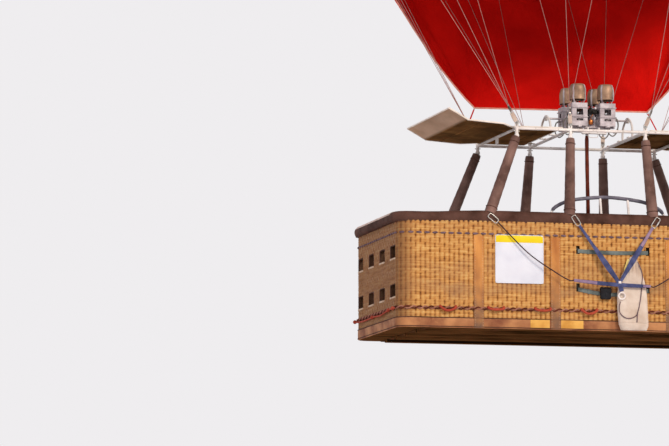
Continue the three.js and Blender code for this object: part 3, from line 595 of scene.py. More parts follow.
def block(bm: Mesh, corner: Sequence[float], other: Sequence[float], soft: float) -> None:
  """Adds a box with softened edges.

  Args:
    bm: The mesh.
    corner: One of its corners.
    other: The corner across from it.
    soft: The bevel's width.
  """
  low, high = Vector([*map(min, corner, other)]), Vector([*map(max, corner, other)])
  size = Matrix.Diagonal((*(high - low), 1))
  made = bmesh.ops.create_cube(bm, size=1.0, matrix=Matrix.Translation((low + high) / 2) @ size)["verts"]
  edges = list({edge for vert in made for edge in vert.link_edges})
  bmesh.ops.bevel(bm, geom=edges, offset=soft, offset_type="OFFSET", segments=2, profile=0.5,
                  affect="EDGES", material=-1, clamp_overlap=True)


def lathe(bm: Mesh, profile: Profile, centre: Vector, steps: int, turn: Matrix | None = None) -> None:
  """Turns a profile of (radius, height) about an upright axis.

  Args:
    bm: The mesh.
    profile: The points, open or ending on the axis.
    centre: The axis' foot.
    steps: How many faces go round.
    turn: A rotation of the whole about the centre.
  """
  verts = [bm.verts.new((radius, 0, z)) for radius, z in profile]
  edges = [bm.edges.new(pair) for pair in zip(verts, verts[1:])]
  before = set(bm.verts) - set(verts)
  bmesh.ops.spin(bm, geom=verts + edges, cent=(0, 0, 0), axis=Z, dvec=(0, 0, 0), angle=2 * pi,
                 steps=steps, use_merge=True, use_normal_flip=False, use_duplicate=False)
  bmesh.ops.remove_doubles(bm, verts=[vert for vert in bm.verts if vert not in before], dist=1e-5)
  move = Matrix.Translation(centre) @ (turn or Matrix.Identity(4))
  bmesh.ops.transform(bm, matrix=move, verts=[vert for vert in bm.verts if vert not in before])


def mirrored(half: Sequence[Sizes]) -> list[Sizes]:
  """A line up to its middle and its mirror image in the last number, as one line."""
  return [(*rest, -last) for *rest, last in half if last] + [*reversed(half)]


def pipe(bm: Mesh, path: Sequence[Vector], radius: float | Along, sides: int = 10,
         closed: bool = False, shape: Along | None = None) -> None:
  """Sweeps a round section along a path.

  Args:
    bm: The mesh.
    path: The points of its middle line.
    radius: Its radius, or a function of 0 to 1 along the path.
    sides: How many faces go round it.
    closed: Whether the path's end meets its start.
    shape: A factor on the radius for each turn from 0 to 1 round the section.
  """
  points = [Vector(point) for point in path] + ([Vector(path[0])] if closed else [])
  last = len(points) - 1
  tangents = []
  for i in range(last + 1):
    before = points[i - 1] if i else points[last - 1 if closed else 0]
    after = points[i + 1] if i < last else points[1 if closed else last]
    tangents.append((after - before).normalized())
  side = tangents[0].cross(Z if abs(tangents[0].z) < 0.9 else X).normalized()
  frames = []
  for tangent in tangents:
    side = (side - tangent * side.dot(tangent)).normalized()
    frames.append((side.copy(), tangent.cross(side)))
  if closed:
    twist = atan2(frames[0][0].dot(frames[-1][1]), frames[0][0].dot(frames[-1][0]))
    for i, (one, two) in enumerate(frames):
      c, s = cos(twist * i / last), sin(twist * i / last)
      frames[i] = (one * c + two * s, two * c - one * s)

  def place(u: float, v: float) -> Vector:
    """A point of the swept surface."""
    step = round(v * last)
    one, two = frames[step]
    size = (radius(v) if callable(radius) else radius) * (shape(u % 1.0) if shape else 1.0)
    angle = 2 * pi * u
    return points[step] + one * (size * cos(angle)) + two * (size * sin(angle))

  bmesh.ops.remove_doubles(bm, verts=surface(bm, sides, last, place), dist=1e-6)
  if not closed:
    cap(bm)


def curve(points: Sequence[Vector], steps: int) -> list[Vector]:
  """A smooth line through points.

  Args:
    points: The points it passes.
    steps: How many pieces each stretch is cut into.

  Returns:
    The points of the line.
  """
  ends = [points[0] * 2 - points[1], *points, points[-1] * 2 - points[-2]]
  path = []
  for a, b, c, d in zip(ends, ends[1:], ends[2:], ends[3:]):
    for t in (step / steps for step in range(steps)):
      path.append(0.5 * (2 * b + (c - a) * t + (2 * a - 5 * b + 4 * c - d) * t**2
                         + (3 * b - a - 3 * c + d) * t**3))
  return [*path, points[-1].copy()]


STRAP_HALF = ((-0.5, -0.2), (-0.46, -0.5), (0, -0.56), (0.46, -0.5), (0.5, -0.2))
STRAP_SECTION = (*STRAP_HALF, *((-across, -out) for across, out in STRAP_HALF))


def strap(bm: Mesh, path: Sequence[Vector], width: float | Along, thick: float, side: Vector) -> None:
  """Sweeps a flat strap with soft edges along a path.

  Args:
    bm: The mesh.
    path: The points of its middle line.
    width: Its width, or a function of 0 to 1 along the path.
    thick: Its thickness.
    side: The direction of its width, roughly.
  """
  last, count = len(path) - 1, len(STRAP_SECTION)
  frames = []
  for i in range(last + 1):
    along = (path[min(i + 1, last)] - path[max(i - 1, 0)]).normalized()
    across = (side - along * side.dot(along)).normalized()
    frames.append((across, along.cross(across)))

  def place(u: float, v: float) -> Vector:
    """A point of the strap's surface."""
    step = round(v * last)
    across, out = frames[step]
    a, b = STRAP_SECTION[round(u * count) % count]
    return path[step] + across * (a * (width(v) if callable(width) else width)) + out * (b * thick)

  bmesh.ops.remove_doubles(bm, verts=surface(bm, count, last, place), dist=1e-6)
  cap(bm)


def ring(bm: Mesh, centre: Vector, radius: float, thick: float, axis: Vector, long: float = 1.0,
         along: Vector | None = None, steps: int = 24) -> None:
  """Adds a round or long ring of wire.

  Args:
    bm: The mesh.
    centre: Its centre.
    radius: The middle line's radius.
    thick: The wire's radius.
    axis: The direction through the hole.
    long: How many times longer it is than wide.
    along: The direction in which it is long.
    steps: How many pieces go round.
  """
  axis = axis.normalized()
  one = (along if along is not None else axis.orthogonal()).normalized()
  one = (one - axis * one.dot(axis)).normalized()
  two = axis.cross(one)
  path = []
  for i in range(steps):
    c, s = (turn(2 * pi * (i + 0.5) / steps) for turn in (cos, sin))
    shift = copysign(radius * (long - 1), c)
    path.append(centre + one * (radius * c + shift) + two * (radius * s))
  pipe(bm, path, thick, 8, closed=True)


def dashes(bm: Mesh, places: Iterable[tuple[Vector, Vector, Vector]], size: Sequence[float]) -> None:
  """Adds a small rounded stitch at each place.

  Args:
    bm: The mesh.
    places: A point, the stitch's direction and the outward direction for each.
    size: Half its length, width and height.
  """
  for point, along, out in places:
    side = out.cross(along).normalized()
    turn = Matrix((along.normalized(), side, out.normalized())).transposed().to_4x4()
    matrix = Matrix.Translation(point) @ turn @ Matrix.Diagonal((*size, 1))
    bmesh.ops.create_icosphere(bm, subdivisions=1, radius=1.0, matrix=matrix)


@dataclass(frozen=True)
class Loop:
  """A rounded rectangle about the origin, measured along its line from the left end of its front."""

  x: float
  y: float
  corner: float

  @property
  def length(self) -> float:
    """The whole way round."""
    return 4 * (self.x + self.y - 2 * self.corner) + 2 * pi * self.corner

  def at(self, way: float) -> tuple[Vector, Vector]:
    """A place on the line.

    Args:
      way: The way along the line.

    Returns:
      The point and the outward direction, both level.
    """
    c = self.corner
    way %= self.length
    sides = ((X, 2 * (self.x - c)), (Y, 2 * (self.y - c)), (-X, 2 * (self.x - c)), (-Y, 2 * (self.y - c)))
    point = Vector((-self.x + c, -self.y, 0))
    for along, size in sides:
      out = Vector((along.y, -along.x, 0))
      if way <= size:
        return point + along * way, out
      way -= size
      point = point + along * size
      if way <= c * pi / 2:
        facing = out * cos(way / c) + along * sin(way / c)
        return point - out * c + facing * c, facing
      way -= c * pi / 2
      point = point - out * c + along * c
    return point, -Y

  def places(self, count: int) -> list[tuple[Vector, Vector]]:
    """Evenly spaced places round the line."""
    return [self.at(self.length * i / count) for i in range(count)]

  def wire(self, bm: Mesh, count: int, reach: float, height: float, radius: float) -> None:
    """Lays a wire round the line, so far out and so high."""
    path = [point + out * reach + Z * (height + BASE) for point, out in self.places(count)]
    pipe(bm, path, radius, 6, closed=True)

  def sweep(self, bm: Mesh, profile: Profile, pitch: float, swell: Callable[[float, float], float]) -> None:
    """Sweeps a closed profile of (outward, height) along the line.

    Args:
      bm: The mesh.
      profile: The profile's points in order.
      pitch: The distance between its sections.
      swell: A factor on the profile's size about its middle, for each way and turn.
    """
    count, turns = round(self.length / pitch), len(profile)
    centre = Vector((sum(a for a, _ in profile), sum(b for _, b in profile))) / turns

    def place(u: float, v: float) -> Vector:
      """A point of the swept surface."""
      way = (round(v * count) % count) * self.length / count
      turn = round(u * turns) % turns
      point, out = self.at(way)
      at = centre + (Vector(profile[turn]) - centre) * swell(way, turn / turns)
      return point + out * at.x + Z * (at.y + BASE)

    bmesh.ops.remove_doubles(bm, verts=surface(bm, turns, count, place), dist=1e-6)


# Basket


@dataclass
class Basket:
  """The woven basket with its hide band and strips, padded rim, lacing and partitions."""

  wall: Loop = Loop(2.236, 0.8585, 0.12)
  skirt: Loop = Loop(2.25, 0.8725, 0.13)
  rim: Loop = Loop(2.233, 0.8205, 0.1)
  rim_height: float = 1.136
  rim_radius: float = 0.059
  rim_half: float = 0.0625
  pad_height: float = 1.109
  pad_radius: float = 0.0435
  pad_ends: Rows = (("cross", (0.607, -0.766), (0.607, 0.766)), ("long", (0.653, 0), (2.143, 0)))
  weave: tuple[float, float] = (0.095, 1.096)
  rib_pitch: float = 0.05
  row_height: float = 0.024
  band_top: float = 0.105
  patches: Profile = ((-0.873, -0.671), (-0.552, -0.317), (0.1, 0.36), (0.98, 1.22))
  strips: Sizes = (-1.411, -0.607, 0.607, 1.411)
  strip_width: float = 0.104
  strip_span: tuple[float, float] = (0.003, 0.935)
  stitch_pitch: float = 0.026
  step_lows: Sizes = (0.31, 0.7)
  step_places: Sizes = (-0.65, -0.217, 0.217, 0.65)
  step_width: float = 0.19
  step_height: float = 0.128
  lips: Rows = ((2.2, 2.252, -0.004, 0.0005, 0.0065, 0.002), (2.239, 2.2525, 0.006, -0.011, 0.004, 0.003))
  slot_places: Sizes = (-0.37, 0.37)
  slot_lows: Sizes = (0.39, 0.77)
  slot_height: float = 0.082
  lace_pitch: float = 0.084
  lace_height: float = 0.955
  twist_height: float = 0.199
  twists: int = 100
  grips: Sizes = (-1.733, -1.233, -0.744, -0.256, 0.256, 0.744, 1.233, 1.733)
  grip: Rows = (
      (-0.082, 0.868, 0.218, 0), (-0.072, 0.892, 0.2, 0), (-0.035, 0.905, 0.2, 0.9), (0.01, 0.906, 0.2, 1),
      (0.05, 0.9, 0.2, 0.55), (0.074, 0.89, 0.2, 0), (0.084, 0.868, 0.22, 0))
  end_rope: Profile = (
      (0.84, 0.19), (0.6, 0.172), (0.35, 0.17), (0.1, 0.176), (-0.2, 0.168), (-0.42, 0.18), (-0.6, 0.196),
      (-0.78, 0.193))
  knots: Profile = ((0.1, 0.176), (-0.55, 0.192), (-0.72, 0.194), (0.82, 0.19))
  floor_straps: Sizes = (-1.95, -1.2, -0.4, 0.4, 1.2, 1.95)
  runners: Sizes = (-0.6, -0.2, 0.2, 0.6)

  def build(self) -> None:
    """Builds every piece of the basket."""
    dress("floor_with_runners", BOARDS)
    # The inside wall and the partitions take the darkened cane, which is painted shade.
    dress("basket_wall", SHADED_WICKER_INSIDE)
    for kind, (side, _) in product(("cross", "long"), LEFT_RIGHT):
      dress(f"{kind}_partition_{side}", SHADED_WICKER_INSIDE)
    self.canes()
    self.band()
    self.strips_and_stitches()
    self.padded_rim()
    self.lacing()
    self.rope_grips()
    self.step_edges()
    self.partition_pads()
    self.underside()

  def relief(self, step: int, row: int) -> float:
    """How far the weave stands out.

    Args:
      step: The column of the mesh, four to a rib.
      row: The row of the mesh, two to a cane.

    Returns:
      The height from 0 to 1.
    """
    rib, part = divmod(step, 4)
    ridge = (0, 0.8, 1, 0.8)[part]
    course = row // 2
    if part == 0:
      if ripple(course * 0.11, 3.1) > 0.02:
        ridge = 0.66 if (course // 2 + rib) % 2 else 0.12
      else:
        ridge = 0.34 if (course + rib) % 2 else 0.24
      ridge += 0.22 * ripple(rib * 0.7, course * 0.45, 5.0)
    if row % 2 == 0:
      ridge *= 0.8
    return max(0, min(1, ridge + 0.24 * ripple(step * 0.41, row * 0.5)))

  def in_hole(self, point: Vector) -> bool:
    """Whether a place of the weave lies over a step hole or a strap slot.

    Args:
      point: The place.

    Returns:
      True where the weave is open.
    """
    if abs(point.x) > 2.2:
      across, places, half = point.y, self.step_places, self.step_width / 2 + 0.002
      lows, tall = self.step_lows, self.step_height
    else:
      across, places, half = point.x, self.slot_places, 0.02 * (point.y < -0.8)
      lows, tall = self.slot_lows, self.slot_height
    z = point.z - BASE
    return any(low < z < low + tall for low in lows) and any(abs(across - x) < half for x in places)

  def canes(self) -> None:
    """Lays the canes over the wall's outer face, open at the step holes."""
    low, high = self.weave
    columns = round(self.wall.length / self.rib_pitch) * 4
    rows = round((high - low) / self.row_height) * 2
    places = self.wall.places(columns)
    bm = bmesh.new()
    # The weave layer keeps each point's relief; the woven finish also turns it into painted shade in the
    # grooves and painted highlights on the ridges.
    layer = bm.verts.layers.float.new("weave")
    rises = []

    def place(u: float, v: float) -> Vector:
      """A point of the woven skin."""
      step, row = round(u * columns) % columns, round(v * rows)
      inside = 0 < row < rows
      rises.append(self.relief(step, row) if inside else 0.0)
      point, out = places[step]
      lift = 0.0015 + 0.0105 * rises[-1] if inside else -0.001
      return point + out * lift + Z * (low + (high - low) * v + BASE)

    for vert, rise in zip(surface(bm, columns, rows, place), rises):
      vert[layer] = rise
    over = [face for face in bm.faces if self.in_hole(face.calc_center_median())]
    bmesh.ops.delete(bm, geom=over, context="FACES")
    keep("woven_wall", bm, WICKER)

  def band(self) -> None:
    """Makes the hide band round the foot, with its paler patches and a piped edge."""
    bm, top = bmesh.new(), self.band_top
    profile = [(-0.011, 0), (-0.004, 0), (0, 0.005), (0.001, top * 0.5), (0, top - 0.008),
               (-0.003, top - 0.001), (-0.011, top)]
    self.skirt.sweep(bm, profile, 0.04, lambda way, turn: 1 + 0.012 * ripple(way * 3, turn * 4))
    keep("foot_band", bm, BAND_HIDE, node="skirting_band")
    bm = bmesh.new()
    for (x0, x1), f in product(self.patches, SIDES):
      block(bm, spot(x0, f * 0.872, 0.016), spot(x1, f * 0.8752, 0.1), 0.0015)
    keep("band_patches", bm, PATCH_HIDE)
    bm = bmesh.new()
    for height in (0.012, top - 0.003):
      self.skirt.wire(bm, 420, 0.001, height, 0.0045)
    keep("band_welts", bm, RIM_HIDE)

  def strips_and_stitches(self) -> None:
    """Makes the upright hide strips and the stitches along their edges."""
    bm, thread = bmesh.new(), bmesh.new()
    low, high = self.strip_span
    for x, f in product(self.strips, SIDES):
      heights = [low + (high - low) * i / 24 for i in range(25)]
      path = [spot(x, f * (0.8682 + 0.0012 * ripple(x * 9, z * 4, f)), z) for z in heights]
      strap(bm, path, self.strip_width, 0.0165, X)
      for edge in SIDES:
        across = x + edge * (self.strip_width / 2 - 0.011)
        heights = [0.03 + self.stitch_pitch * i for i in range(34)]
        dashes(thread, [(spot(across, f * 0.8772, z), Z, Y * f) for z in heights], (0.008, 0.0016, 0.0012))
    keep("hide_strips", bm, STRIP_HIDE)
    keep("strip_stitches", thread, LIP_HIDE)

  def roll(self, angle: float, scale: float = 1.0) -> tuple[float, float]:
    """A point of the rim's section, which is fuller below than above.

    Args:
      angle: The turn round the section, in degrees from straight outward.
      scale: A factor on its size.

    Returns:
      How far it lies outward, and its height.
    """
    c, up = cos(radians(angle)), sin(radians(angle))
    across = copysign(abs(c) ** (1.0 if up > 0 else 0.5), c)
    rise = self.rim_half * up * (1.0 if up > 0 else 1.07)
    return self.rim_radius * across * scale, self.rim_height + rise * scale

  def sag(self, bm: Mesh) -> None:
    """Lowers and thins what lies along the rim toward the basket's corners."""
    middle = self.rim_height + BASE
    for vert in bm.verts:
      far = min(1, max(0, (abs(vert.co.x) - 1.25) / 0.8))
      far = far * far * (3 - 2 * far)
      vert.co.z = middle + (vert.co.z - middle) * (1 - 0.15 * far) - 0.018 * far

  def padded_rim(self) -> None:
    """Makes the padded roll on the rim, its welts and, over both ends, pale sheets on the roll's upper side
    that paint its highlight.
    """
    bm = bmesh.new()

    def swell(way: float, turn: float) -> float:
      """The roll's stuffing, full between its ties."""
      return 0.985 + 0.012 * abs(sin(pi * way / 0.16)) + 0.012 * ripple(way * 5, turn * 5)

    self.rim.sweep(bm, [self.roll(15 * i) for i in range(24)], 0.02, swell)
    self.sag(bm)
    keep("padded_rim", bm, RIM_HIDE, node="rim_roll")
    bm = bmesh.new()
    for angle in (-58, 238):
      self.rim.wire(bm, 480, *self.roll(angle), 0.0042)
    self.sag(bm)
    keep("rim_welts", bm, RIM_HIDE)
    # Pale sheets over the upper side of the rim's ends: a painted highlight.
    for side, s in LEFT_RIGHT:
      bm = bmesh.new()

      def place(u: float, v: float) -> Vector:
        """A point of the pale sheet that paints the highlight."""
        across, z = self.roll(22 + 146 * u, 1.03 + 0.012 * ripple(v * 14, u * 6, s))
        return spot(s * (self.rim.x + across), -0.68 + 1.36 * v, z)

      surface(bm, 20, 60, place)
      self.sag(bm)
      shell(bm, 0.0025)
      keep(f"rim_cover_{side}", bm, PALE_HIDE)

  def lacing(self) -> None:
    """Makes the stitched cord under the rim and the twisted rope over the band."""
    bm, places = bmesh.new(), []
    for i, (point, out) in enumerate(self.wall.places(round(self.wall.length / self.lace_pitch))):
      along = Vector((-out.y, out.x, 0.12 * ripple(i * 1.7, 0.4)))
      height = self.lace_height + 0.004 * ripple(i, 2.0) + BASE
      places.append((point + out * 0.0135 + Z * height, along, out))
    dashes(bm, places, (0.034, 0.0125, 0.0085))
    keep("upper_lacing", bm, VIOLET_CORD)
    steps = 700
    for strand, finish in ((0, PALE_ROPE), (pi, BROWN_ROPE)):
      bm, path = bmesh.new(), []
      for i, (point, out) in enumerate(self.wall.places(steps)):
        turn = 2 * pi * i * self.twists / steps + strand
        height = self.twist_height + 0.012 * sin(turn) + BASE
        path.append(point + out * (0.0175 + 0.006 * cos(turn)) + Z * height)
      pipe(bm, path, 0.0078, 6, closed=True)
      keep(f"lower_lacing_{finish.name[5:]}", bm, finish)

  def rope_grips(self) -> None:
    """Makes the rope grips on the long faces and the knotted rope over each end."""
    bm = bmesh.new()
    for (i, x), f in product(enumerate(self.grips), SIDES):
      drop = 0.012 + 0.018 * (i % 4 in (0, 3)) + 0.005 * ripple(x * 3, f)
      route = [spot(x + dx, f * y, z - drop * share) for dx, y, z, share in self.grip]
      pipe(bm, curve(route, 6), 0.0125, 8)
      for dx in (-0.078, 0.078):
        ball(bm, spot(x + dx, f * 0.884, 0.207), 0.0165)
    for s in SIDES:
      route = [spot(s * (2.262 + 0.004 * (i % 2)), y, z) for i, (y, z) in enumerate(self.end_rope)]
      pipe(bm, curve(route, 8), 0.0085, 8)
      for y, z in self.knots:
        ball(bm, spot(s * 2.266, y, z), 0.021)
    keep("rope_grips", bm, RED_ROPE)

  def step_edges(self) -> None:
    """Makes the bound edges of the step holes, with a pale hide lip under each."""
    bm, lips = bmesh.new(), bmesh.new()
    half, tall = self.step_width / 2, self.step_height / 2
    hole = Loop(half + 0.004, tall + 0.004, 0.018).places(44)
    for s, low, y in product(SIDES, self.step_lows, self.step_places):
      path = [spot(s * 2.2405, y + point.x, low + tall + point.y) for point, _ in hole]
      pipe(bm, path, 0.0065, 6, closed=True)
      for near, far, over, under, top, soft in self.lips:
        block(lips, spot(s * near, y - half - over, low + under), spot(s * far, y + half + over, low + top),
              soft)
    keep("step_bindings", bm, RIM_HIDE)
    keep("step_lips", lips, LIP_HIDE)

  def partition_pads(self) -> None:
    """Makes the padded tops of the partitions."""

    def swell(v: float) -> float:
      """The pad's radius, drawn in at both ends."""
      return self.pad_radius + 0.0009 * sin(v * 70) - 0.004 * (v < 0.005 or v > 0.995)

    for (side, s), (kind, *ends) in product(LEFT_RIGHT, self.pad_ends):
      bm = bmesh.new()
      pipe(bm, line(*(spot(s * x, y, self.pad_height) for x, y in ends), 60), swell, 16)
      keep(f"{kind}_pad_{side}", bm, RIM_HIDE)

  def underside(self) -> None:
    """Makes the hide straps and bolt heads under the floor."""
    bm, bolts = bmesh.new(), bmesh.new()
    for x in self.floor_straps:
      strap(bm, line(spot(x, -0.85, -0.0035), spot(x, 0.85, -0.0035), 24), 0.07, 0.005, X)
    for y in self.runners:
      for foot in line(spot(-1.85, y, 0), spot(1.85, y, 0), 11):
        lathe(bolts, [(0, -0.0355), (0.008, -0.0352), (0.011, -0.032), (0.011, -0.031)], foot, 10)
    keep("floor_straps", bm, UNDER_HIDE)
    keep("runner_bolts", bolts, UNDER_HIDE)


# Uprights and frame


@dataclass
class Uprights:
  """The eight padded poles between the rim and the load frame."""

  across: Rows = (("outer", 1.27, 0.966), ("inner", 0.44, 0.399))
  foot: tuple[float, float] = (0.8205, 1.198)
  head: tuple[float, float] = (0.728, 1.985)
  foot_radius: float = 0.0575
  top_radius: float = 0.046
  pole_radius: float = 0.017
  sleeve_share: float = 0.978
  ties: Sizes = (0.075, 0.93)

  def build(self) -> None:
    """Builds each pole in its sleeve."""
    for (face, f), (side, s), (kind, *ends) in product(FRONT_BACK, LEFT_RIGHT, self.across):
      foot, head = (spot(s * x, f * y, z) for x, (y, z) in zip(ends, (self.foot, self.head)))
      self.pole(f"{face}_{kind}_{side}", foot, head)

  def pole(self, name: str, foot: Vector, head: Vector) -> None:
    """Builds one pole.

    Args:
      name: The end of its node's name.
      foot: The middle of its foot on the rim.
      head: Its upper end, in the socket.
    """
    along = (head - foot).normalized()
    seed = sum(map(ord, name)) * 0.13
    start = foot - along * 0.032
    path = line(start, start.lerp(head, self.sleeve_share), 44)

    def radius(v: float) -> float:
      """The sleeve's radius, rounded in at its top."""
      size = self.foot_radius + (self.top_radius - self.foot_radius) * v
      size *= 1 + 0.02 * ripple(v * 9, seed) + 0.012 * sin(v * 60 + seed)
      return size * (0.9 + 0.1 * sqrt(min(1, (1 - v) * 26)))

    bm = bmesh.new()
    pipe(bm, path, radius, 22, shape=lambda u: 1 + 0.022 * exp(-((u - 0.5) / 0.035) ** 2))
    keep(f"sleeve_{name}", bm, SLEEVE_HIDE, node=f"upright_{name}")
    bm = bmesh.new()
    bar(bm, path[-1] - along * 0.03, head + along * 0.004, self.pole_radius, sides=18)
    keep(f"pole_{name}", bm, WHITE_PAINT)
    bm = bmesh.new()
    for share in self.ties:
      ring(bm, path[0].lerp(path[-1], share), radius(share) + 0.0015, 0.0045, along, steps=20)
    keep(f"sleeve_ties_{name}", bm, RIM_HIDE)


@dataclass
class LoadFrame:
  """The tube frame with its sockets, eyes, heat shields and the burner's cradles."""

  x: float = 0.966
  y: float = 0.728
  inner: float = 0.399
  z: float = 2.056
  tube: float = 0.015
  shield_z: float = 2.076
  shield_fold: float = 1.003
  shield_hinge: float = 1.5
  shield_rise: float = 0.036
  shield_tip: float = 1.7
  shield_lift: float = 0.112
  shield_half: float = 0.815
  outline: Profile = (
      (0.474, -0.69), (0.925, -0.69), (0.925, -0.655), (1.003, -0.655), (1.13, -0.815), (1.5, -0.815))
  ribs: Profile = ((0.62, 0.63), (0.98, 0.63), (1.34, 0.78))
  rivets: int = 13
  cradle_x: float = 0.44
  cradle_half: float = 0.165
  axis: float = 2.268

  def build(self) -> None:
    """Builds the frame and what it carries."""
    self.tubes()
    self.sockets()
    for side, s in LEFT_RIGHT:
      self.shield(side, s)
      self.cradle(side, s)

  def points(self) -> list[Vector]:
    """The eight points where the tubes meet."""
    return [spot(s * x, f * self.y, self.z) for s in SIDES for x in (self.x, self.inner) for f in SIDES]

  def tubes(self) -> None:
    """Builds the level tubes with rounded ends, and the lugs under the end tubes."""
    bm, r, points = bmesh.new(), self.tube, self.points()
    for front, back in zip(points[::2], points[1::2]):
      bar(bm, front, back, r, sides=24)
    for f in SIDES:
      bar(bm, *(spot(s * (self.x + r), f * self.y, self.z) for s in SIDES), r, sides=24)
    for point in points:
      bmesh.ops.create_uvsphere(bm, u_segments=20, v_segments=12, radius=r * 1.22,
                                matrix=Matrix.Translation(point))
    for s in SIDES:
      end = spot(s * self.x, 0, self.z)
      block(bm, end + Vector((-0.006, -0.04, -0.07)), end + Vector((0.006, 0.04, 0)), 0.0015)
    keep("frame_tubes", bm, WHITE_PAINT, node="load_frame")

  def sockets(self) -> None:
    """Builds the clamps over each pole and the eye plates with their shackles."""
    bm, shackles = bmesh.new(), bmesh.new()
    profile = [(0, -0.098), (0.012, -0.098), (0.0215, -0.09), (0.0245, -0.078), (0.0235, -0.066),
               (0.018, -0.056), (0.0165, -0.04), (0.0165, -0.01), (0, -0.006)]
    for centre in self.points():
      lathe(bm, profile, centre, 24)
      block(bm, centre + Vector((-0.011, -0.019, -0.055)), centre + Vector((0.011, 0.019, 0)), 0.003)
      block(bm, centre + Vector((-0.02, -0.004, 0.008)), centre + Vector((0.02, 0.004, 0.046)), 0.002)
      ring(shackles, centre + Z * 0.046, 0.014, 0.0045, X, 1.5, Z, 20)
      bar(shackles, *(centre + Vector((s * 0.03, 0, -0.03)) for s in SIDES), 0.005, sides=10)
    keep("frame_sockets", bm, WHITE_PAINT)
    keep("frame_shackles", shackles, STEEL)

  def under(self, x: float) -> float:
    """The height of a shield's underside at a distance from the middle."""
    share = max(0, x - self.shield_fold) / (self.shield_hinge - self.shield_fold)
    return self.shield_z + share * self.shield_rise

  def shield(self, side: str, s: int) -> None:
    """Dresses one heat shield and adds its rolled edge, ribs and rivets.

    Args:
      side: The side's name.
      s: The side, -1 or 1.
    """
    dress(f"heat_shield_{side}", SHIELD_SHEET)
    half = [spot(s * x, y, self.under(x) + 0.003) for x, y in self.outline]
    top = self.under(self.shield_hinge) + self.shield_lift + 0.003
    half.append(spot(s * self.shield_tip, -self.shield_half, top))
    route = [*half, *(Vector((p.x, -p.y, p.z)) for p in reversed(half))]
    path = [point for a, b in zip(route, route[1:] + route[:1]) for point in line(a, b, 6)[:-1]]
    bm = bmesh.new()
    pipe(bm, path, 0.0085, 8, closed=True)
    keep(f"shield_edge_{side}", bm, SHIELD_TRIM)
    bm, rivets = bmesh.new(), bmesh.new()
    for x, reach in self.ribs:
      low = self.under(x)
      near, far = s * (x - 0.014), s * (x + 0.014)
      block(bm, spot(near, -reach, low - 0.008), spot(far, reach, low - 0.0003), 0.002)
      for i in range(self.rivets):
        y = reach * ((2 * i + 1) / self.rivets - 1)
        lathe(rivets, [(0, -0.0105), (0.004, -0.01), (0.0055, -0.008)], spot(s * x, y, low), 8)
    keep(f"shield_ribs_{side}", bm, SHIELD_SHEET)
    keep(f"shield_rivets_{side}", rivets, SHIELD_SHEET)

  def cradle(self, side: str, s: int) -> None:
    """Builds one arch that carries a pin of the burner.

    Args:
      side: The side's name.
      s: The side, -1 or 1.
    """
    bm = bmesh.new()
    x, w, foot = s * self.cradle_x, self.cradle_half, self.z + self.tube
    half = [(foot + 0.004, w), (foot + 0.09, w), (self.axis - 0.03, w * 0.72), (self.axis + 0.024, 0)]
    pipe(bm, curve([spot(x, y, z) for z, y in mirrored(half)], 8), 0.011, 14)
    bush = mirrored([(0.0108, 0.016), (0.022, 0.016), (0.024, 0.013)])
    lathe(bm, [*bush, bush[0]], spot(x, 0, self.axis), 28, ABOUT_Y)
    for y in (-w, w):
      nut = spot(s * self.inner, y, foot + 0.008)
      block(bm, spot(x + s * 0.016, y - 0.022, foot), nut + Vector((s * -0.016, 0.022, 0)), 0.002)
      bar(bm, nut, nut + Z * 0.006, 0.008, sides=6)
    keep(f"cradle_arch_{side}", bm, WHITE_PAINT, node=f"burner_cradle_{side}")


# Burner


